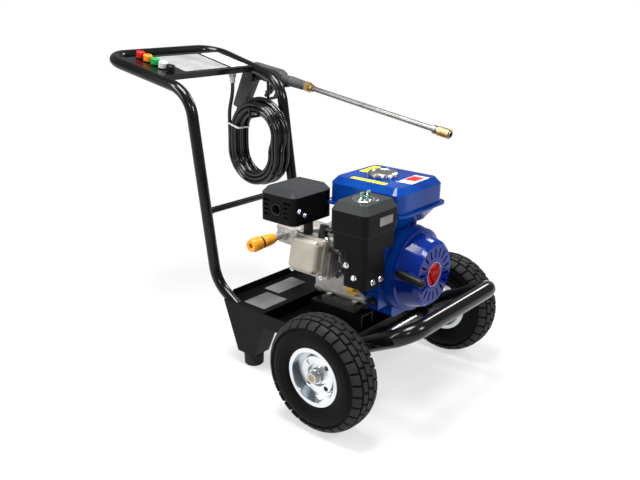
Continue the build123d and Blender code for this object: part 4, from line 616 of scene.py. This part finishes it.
def slab(name, centre, across, along, size, corner, steps):
    """Rounded rectangles in a stack: each step (inset, height) draws the outline in and lifts it."""
    across, along = np.array(across, float), np.array(along, float)
    across, along = across / np.linalg.norm(across), along / np.linalg.norm(along)
    facing = np.cross(across, along)
    rings = []
    for inset, height in steps:
        flat = rounded_outline(size[0] / 2 - inset, size[1] / 2 - inset, max(corner - inset, 0.0002))[0]
        rings.append(np.array(centre) + flat @ np.stack([across, along]) + height * facing)
    ends = [np.broadcast_to(ring.mean(axis=0), ring.shape) for ring in (rings[0], rings[-1])]
    return grid_mesh(name, np.stack([ends[0], *rings, ends[1]]), closed_v=True, smooth=30)


FILM = ((0.0, 0.0), (0.0, 0.0003), (0.0002, 0.0004))
pale_film = material("pale_film", moulded((0.26, 0.255, 0.26), (0.34, 0.33, 0.33), 0.34, 0.05))
PANEL_RISE = (0.0, 1.0, 0.2152)
PANEL_MIDDLE = np.array([0.0, AXLE_Y + 0.680, 0.7076])
PANEL_PLATE_LONG = 0.128
PANEL_PLATES = (
    ("panel_text_plate", 0.000, 0.150, pale_film),
    ("panel_edge_plate", 0.118, 0.062, white_plastic),
)
for name, x, width, film in PANEL_PLATES:
    size = (width, PANEL_PLATE_LONG)
    made = slab(name, PANEL_MIDDLE + [x, 0, 0], (1, 0, 0), PANEL_RISE, size, 0.004, FILM)
    finish_piece(made, film)
dull_film = material("dull_film", moulded((0.15, 0.147, 0.15), (0.20, 0.195, 0.20), 0.36, 0.05))
DECK_TOP = 0.1601
DECK_PLATES = (
    ("deck_plate", (-0.111, 0.306), (0.082, 0.070)),
    ("wide_deck_plate", (-0.004, 0.338), (0.105, 0.052)),
)
for name, (x, y), size in DECK_PLATES:
    made = slab(name, (x, AXLE_Y + y, DECK_TOP), (1, 0, 0), (0, 1, 0), size, 0.003, FILM)
    finish_piece(made, dull_film)


# Castings: grainy aluminium of the crankcase, head and pump with a dull sheen, the silver painted
# rocker cover, the iron flywheel and the muffler's burnt steel.
def cast_metal(dark, pale, metallic=0.85, rough=0.38):
    """Cast metal: cloudy tone and a coarse grain."""
    def shade(at):
        cloud = at.noise(26.0, 5.0, 0.6)
        grain = at.noise(420.0, 4.0, 0.65)
        return {
            "Base Color": cloud.step(0.25, 0.75).mix(dark, pale),
            "Metallic": metallic,
            "Roughness": cloud * 0.2 + rough,
            "Bump": (grain, 0.25, 0.0006),
        }
    return shade


cast_alloy = material("cast_alloy", cast_metal((0.42, 0.41, 0.39), (0.62, 0.61, 0.58)))
dress(cast_alloy, "crankcase_cover", "cylinder_head", "piston", "pump_body", "pump_manifold")
dress(cast_alloy, "inlet_fitting")
silver_paint = material("silver_paint", cast_metal((0.36, 0.335, 0.275), (0.45, 0.42, 0.35), 0.35, 0.36))
dress(silver_paint, "rocker_cover")
iron = material("iron", cast_metal((0.16, 0.155, 0.15), (0.26, 0.255, 0.25), 0.8, 0.45))
dress(iron, "flywheel")
burnt = cast_metal((0.020, 0.018, 0.016), (0.045, 0.040, 0.036), 0.6, 0.5)
dress(material("burnt_steel", burnt), "muffler")
BARE_FROM = (0.2085, 0.2095)


def case_alloy(at):
    """The crankcase: bare alloy above a foot flange painted dark."""
    bare = at.part(2).step(*BARE_FROM)
    finish = cast_metal((0.42, 0.41, 0.38), (0.60, 0.58, 0.54))(at)
    finish["Base Color"] = bare.mix((0.02, 0.02, 0.018), finish["Base Color"])
    finish["Metallic"] = bare * 0.8
    return finish


dress(material("case_alloy", case_alloy), "crankcase")


# Hexagon flange bolts in bright zinc, on the cylinder head, on the crankcase cover and on the flange
# of the pump behind it.
def square_to(facing):
    """Two unit vectors square to a direction and to each other."""
    facing = np.array(facing, float) / np.linalg.norm(facing)
    side = np.cross(facing, np.eye(3)[np.argmin(np.abs(facing))])
    side /= np.linalg.norm(side)
    return facing, side, np.cross(facing, side)


def bolts(name, places, facing, flats, sides=36):
    """Flange bolt heads: the hexagon's radius is s / cos(a mod 60 - 30), over a round washer face."""
    facing, side, over = square_to(facing)
    turn = np.linspace(0.0, 2 * np.pi, sides, endpoint=False)
    hexagon = flats / 2 / np.cos(turn % (np.pi / 3) - np.pi / 6)
    round_edge = np.minimum(hexagon, flats * 0.545)
    flange = np.full(sides, flats * 0.78)
    radii = np.stack([0 * turn, flange, flange, hexagon, hexagon, round_edge * 0.92, 0 * turn])
    heights = flats * np.array([0.0, 0.0, 0.12, 0.18, 0.62, 0.70, 0.70])
    ring = np.cos(turn)[:, None] * side + np.sin(turn)[:, None] * over
    shape = radii[:, :, None] * ring[None] + heights[:, None, None] * facing
    points = np.array(places, float)[:, None, None, :] + shape[None]
    return grid_mesh(name, points, closed_v=True, smooth=25)


CRANK = np.array([0.015, 0.0, 0.300])
TILT = math.radians(12.0)
BORE_DIRECTION = np.array([-math.cos(TILT), 0.0, math.sin(TILT)])
BORE_UP = np.array([math.sin(TILT), 0.0, math.cos(TILT)])
CYLINDER_Y = AXLE_Y + 0.134


def on_cylinder(reach, sideways, upwards):
    """A place on the cylinder's frame: along the bore from the crank, across it and up it."""
    at = CRANK + reach * BORE_DIRECTION + upwards * BORE_UP
    return np.array([at[0], CYLINDER_Y + sideways, at[2]])


CORNERS = ((1, 1), (1, -1), (-1, 1), (-1, -1))
HEAD_REACH = 0.164
HEAD_BOLT_HALF = 0.0425
head_places = [on_cylinder(HEAD_REACH, HEAD_BOLT_HALF * a, HEAD_BOLT_HALF * b) for a, b in CORNERS]
head_bolts = bolts("head_bolts", head_places, BORE_DIRECTION, 0.008)
finish_piece(head_bolts, zinc)
COVER_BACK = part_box("crankcase_cover")[1][1]
COVER_PLACES = ((-0.046, 0.212), (0.076, 0.212), (-0.046, 0.350), (0.076, 0.350), (0.015, 0.210))
cover_bolts = bolts("cover_bolts", [(x, COVER_BACK, z) for x, z in COVER_PLACES], (0, 1, 0), 0.012)
finish_piece(cover_bolts, zinc)
FLANGE_BACK = COVER_BACK + 0.0135
FLANGE_REACH = 0.0389
flange_places = [CRANK + [a * FLANGE_REACH, FLANGE_BACK, b * FLANGE_REACH] for a, b in CORNERS]
flange_bolts = bolts("flange_bolts", flange_places, (0, 1, 0), 0.010)
finish_piece(flange_bolts, zinc)

# Blue enamel on the pressed steel tank, blower and recoil starter. The starter's blue is painted darker
# than the tank's as painted shade, and its eye is red behind a painted highlight on the eye's edge.
engine_blue = enamel((0.0010, 0.024, 0.18), (0.0018, 0.052, 0.28), 0.10, 0.15, 0.16)
blue_enamel = material("blue_enamel", engine_blue)
dress(blue_enamel, "fuel_tank", "blower_housing")
EYE = (0.0262, 0.0266)
# Outer radius of the painted highlight round the eye.
EYE_GLINT_TO = (0.0284, 0.0288)


def starter_enamel(at):
    """The starter's housing: blue enamel painted darker as painted shade, with the eye round its hub in red
    behind a painted highlight on its edge.
    """
    across, up = at.part(0) - CRANK[0], at.part(2) - CRANK[2]
    reach = (across * across + up * up).math("SQRT")
    # Painted shade: a darker copy of the tank's blue enamel.
    shaded_blue = at.noise(9.0, 4.0).step(0.3, 0.75).mix((0.0010, 0.013, 0.15), (0.002, 0.022, 0.22))
    # Red eye, then a pale ring round it as a painted highlight.
    edge = reach.step(*EYE).mix((0.34, 0.006, 0.005), (0.30, 0.32, 0.48))
    return {
        "Base Color": reach.step(*EYE_GLINT_TO).mix(edge, shaded_blue),
        "Roughness": at.noise(70.0, 5.0, 0.7).step(0.66, 0.74) * 0.2 + 0.14,
        "Specular IOR Level": 0.16,
        "Coat Weight": 0.15,
        "Coat Roughness": 0.05,
        "Bump": (at.noise(260.0, 2.0), 0.06, 0.0006),
    }


dress(material("starter_enamel", starter_enamel), "recoil_housing")

# The starter's rope: three twisted strands of grey nylon, from the drum out to the grip.
ROPE_LAY = 0.012
ROPE_STRANDS = 3
ROPE_GROOVE = 0.20
rope_low, rope_high = (np.array(corner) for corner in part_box("starter_rope"))
rope_middle = (rope_low + rope_high) / 2
along, turn = np.meshgrid(
    np.linspace(rope_low[0], rope_high[0], 90), np.linspace(0, 2 * np.pi, 24, False), indexing="ij",
)
strands = np.abs(np.cos(ROPE_STRANDS / 2 * (turn + 2 * np.pi * along / ROPE_LAY)))
rope_radius = (rope_high[2] - rope_low[2]) / 2 * (1.0 - ROPE_GROOVE + ROPE_GROOVE * strands)
rope_radius[[0, -1]] = 0.0
rope_y = rope_middle[1] + rope_radius * np.cos(turn)
rope_z = rope_middle[2] + rope_radius * np.sin(turn)
rope = grid_mesh("starter_cord", np.stack([along, rope_y, rope_z], axis=2), closed_v=True, smooth=50)


def twisted_nylon(at):
    """Grey nylon strands with dust in their grooves."""
    cloud = at.noise(240.0, 3.0)
    return {
        "Base Color": cloud.mix((0.05, 0.05, 0.048), (0.16, 0.155, 0.145)),
        "Roughness": cloud * 0.2 + 0.55,
        "Bump": (at.noise(2400.0, 2.0), 0.3, 0.0003),
    }


rope.data.materials.append(material("twisted_nylon", twisted_nylon))
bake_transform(rope)
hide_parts("starter_rope")

# Fuel cap: a pressed steel cap in bright plating. The dish under the air cleaner's wing nut has the
# same finish.
bright_plate = material("bright_plate", plated((0.52, 0.51, 0.50), (0.70, 0.69, 0.67), 0.2))
dress(bright_plate, "fuel_cap")

# Bare plates on the tank's top: two of yellow film and a white one with a red field.
TANK_TOP = 0.5001
yellow_film = material("yellow_film", moulded((0.80, 0.62, 0.02), (0.88, 0.72, 0.04), 0.3, 0.05))
red_film = material("red_film", moulded((0.55, 0.02, 0.02), (0.62, 0.03, 0.03), 0.3, 0.05))
TANK_PLATES = (
    ("rear_plate", (0.048, 0.113), (0.068, 0.020), (1.0, 0.06), yellow_film, "dipstick_yellow", 0.0),
    ("side_plate", (-0.043, 0.050), (0.016, 0.095), (1.0, 0.0), yellow_film, "dipstick_yellow", 0.0),
    ("front_plate", (0.032, -0.018), (0.078, 0.038), (1.0, 0.05), white_plastic, "cap_white", 0.0),
    ("front_field", (0.038, -0.016), (0.040, 0.028), (1.0, 0.05), red_film, "cap_red", 0.0004),
)
for name, (x, y), size, across, film, slot, lift in TANK_PLATES:
    centre = (x, AXLE_Y + y, TANK_TOP + lift)
    made = slab(name, centre, (*across, 0), (-across[1], across[0], 0), size, 0.003, FILM)
    finish_piece(made, film)

# Small black mouldings: the starter's grip, the switch, the knob, the trigger, the filter and one
# nozzle's cap.
black_plastic = material("black_plastic", moulded((0.004, 0.004, 0.0044), (0.008, 0.008, 0.009), 0.30))
dress(black_plastic, "starter_grip", "engine_switch", "unloader_knob")
dress(black_plastic, "gun_trigger", "air_filter", "nozzle_black")


# Air cleaner: black moulded case under its lid, with a painted highlight in grey over the top and a pale
# painted highlight along the seam, screwed down by a wing nut on a bright dish, with flange bolts at its
# foot and a bare plate on its front.
def lit_top_black(height, low, high, seam=0.0):
    """Black moulding painted grey above a height as a painted highlight on its top, with a pale painted
    highlight along its seam.
    """
    def shade(at):
        # Painted highlight: grey above the given height, and a pale line along the seam.
        lit_top = at.part(2).step(height - 0.0004, height + 0.0004)
        plain = (at.part(2) - seam).math("ABSOLUTE").step(0.0004, 0.0009)
        cloud = at.noise(20.0, 3.0)
        return {
            "Base Color": plain.mix(high, lit_top.mix(low, high)),
            "Roughness": cloud * 0.14 + 0.34,
            "Specular IOR Level": 0.09,
            "Bump": (at.noise(700.0, 2.0, 0.6), 0.15, 0.0005),
        }
    return shade


# Height above which the air cleaner's top is painted grey as a highlight.
CLEANER_LIT_FROM = 0.470
CASE_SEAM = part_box("air_cleaner_cover")[0][2]
case_black = lit_top_black(CLEANER_LIT_FROM, (0.0042, 0.0042, 0.004), (0.036, 0.038, 0.039), CASE_SEAM)
cleaner_case = material("cleaner_case", case_black)
dress(cleaner_case, "air_cleaner_cover", "air_cleaner_base")


def turned(name, centre, facing, outline, sides=48):
    """A body of revolution: outline points (height, radius) from the foot to the top."""
    facing, side, over = square_to(facing)
    turn = np.linspace(0.0, 2 * np.pi, sides, endpoint=False)
    ring = np.cos(turn)[:, None] * side + np.sin(turn)[:, None] * over
    outline = np.array([(outline[0][0], 0.0), *outline, (outline[-1][0], 0.0)])
    points = np.array(centre) + outline[:, :1, None] * facing + outline[:, 1:, None] * ring[None]
    return grid_mesh(name, points, closed_v=True, smooth=32)


LID_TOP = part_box("air_cleaner_cover")[1][2]
NUT_AT = np.array([-0.1325, AXLE_Y - 0.0075, LID_TOP])
DISH_OUTLINE = (
    (0.0, 0.0285), (0.0008, 0.0290), (0.0016, 0.0280), (0.0006, 0.0240), (0.0006, 0.0190), (0.0020, 0.0165),
    (0.0020, 0.0115),
)
finish_piece(turned("lid_dish", NUT_AT, (0, 0, 1), DISH_OUTLINE), bright_plate)
wing_zinc = material("wing_zinc", plated((0.42, 0.58, 0.54), (0.62, 0.76, 0.72)))
dress(wing_zinc, "wing_nut")
CASE_BOLT = 0.0085
side_places = [(-0.1750, AXLE_Y - 0.017, 0.326), (-0.1750, AXLE_Y + 0.004, 0.350)]
finish_piece(bolts("case_bolts", side_places, (-1, 0, 0), CASE_BOLT), zinc)
front_places = [(-0.150, AXLE_Y - 0.046, 0.317), (-0.122, AXLE_Y - 0.046, 0.317)]
finish_piece(bolts("case_front_bolts", front_places, (0, -1, 0), CASE_BOLT), zinc)
case_plate = slab(
    "case_plate", (-0.120, AXLE_Y - 0.0551, 0.449), (1, 0, 0), (0, 0, 1), (0.046, 0.019), 0.002, FILM,
)
silver_film = material("silver_film", plated((0.26, 0.26, 0.27), (0.34, 0.34, 0.35), 0.4))
finish_piece(case_plate, silver_film)

# Muffler guard: heat proof black paint on pressed sheet, with a painted highlight in grey over its top and
# two flange bolts on its front.
# Height above which the guard's top is painted grey as a highlight.
GUARD_LIT_FROM = 0.467
guard_black = lit_top_black(GUARD_LIT_FROM, (0.003, 0.003, 0.003), (0.034, 0.035, 0.037))
dress(material("heat_paint", guard_black), "muffler_guard")
GUARD_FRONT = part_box("muffler_guard")[0][1]
guard_places = [(-0.168, GUARD_FRONT, 0.437), (-0.150, GUARD_FRONT, 0.425)]
finish_piece(bolts("guard_bolts", guard_places, (0, -1, 0), CASE_BOLT), zinc)

# Carburettor: darker die casting, with black levers. The spark plug beside it is plated steel under a
# black cap.
dark_casting = cast_metal((0.07, 0.067, 0.063), (0.20, 0.193, 0.183), 0.85, 0.3)
dress(material("carburettor_alloy", dark_casting), "carburettor")
dress(black_plastic, "throttle_lever", "choke_lever", "fuel_lever")
CAP_FROM = (0.3705, 0.3715)


def plug_finish(at):
    """Plated steel below, black rubber cap above."""
    capped = at.part(2).step(*CAP_FROM)
    return {
        "Base Color": capped.mix((0.5, 0.5, 0.49), (0.006, 0.006, 0.006)),
        "Metallic": 1.0 - capped,
        "Roughness": at.noise(200.0, 2.0) * 0.15 + 0.3,
    }


dress(material("plug_finish", plug_finish), "spark_plug")


# Pump side: the inlet's orange yellow quick connector has a dark rubber band. The oil dipstick near it
# is a duller yellow.
BAND_AT = -0.113
BAND_HALF = (0.0025, 0.0032)


def connector_plastic(at):
    """Orange yellow plastic with a black band round it at one place along its length."""
    finish = moulded((0.84, 0.30, 0.010), (0.92, 0.40, 0.014), 0.26, 0.1, 0.5)(at)
    plain = (at.part(0) - BAND_AT).math("ABSOLUTE").step(*BAND_HALF)
    finish["Base Color"] = plain.mix((0.010, 0.010, 0.010), finish["Base Color"])
    return finish


dress(material("connector_plastic", connector_plastic), "inlet_connector")
dip_plastic = material("dip_plastic", moulded((0.58, 0.36, 0.05), (0.68, 0.45, 0.08), 0.35, 0.1))
dress(dip_plastic, "oil_dipstick")

# Gun and lance: grey moulded gun, a smooth steel lance between its brass nut and its brass quick
# coupler.
gun_plastic = material("gun_plastic", moulded((0.050, 0.052, 0.055), (0.072, 0.075, 0.078)))
dress(gun_plastic, "gun_body")
brass = material("brass", plated((0.38, 0.26, 0.095), (0.54, 0.39, 0.16), 0.32, 0.004))
dress(brass, "lance_nut", "coupler_collar")
lance_steel = material("lance_steel", plated((0.19, 0.187, 0.18), (0.26, 0.257, 0.25), 0.3, 0.002))
dress(lance_steel, "lance_tube")

# Nozzle caps, each in its own moulded colour. The starter's pulley and the trigger's latch share the
# red one.
red_plastic = material("red_plastic", moulded((0.42, 0.010, 0.008), (0.56, 0.018, 0.014), 0.30, 0.1))
dress(red_plastic, "recoil_pulley", "trigger_latch", "nozzle_red")
orange_plastic = material("orange_plastic", moulded((0.80, 0.20, 0.010), (0.90, 0.26, 0.015), 0.26, 0.1))
dress(orange_plastic, "nozzle_orange")
green_plastic = material("green_plastic", moulded((0.010, 0.26, 0.065), (0.015, 0.34, 0.09), 0.26, 0.1))
dress(green_plastic, "nozzle_green")
dress(white_plastic, "nozzle_white")
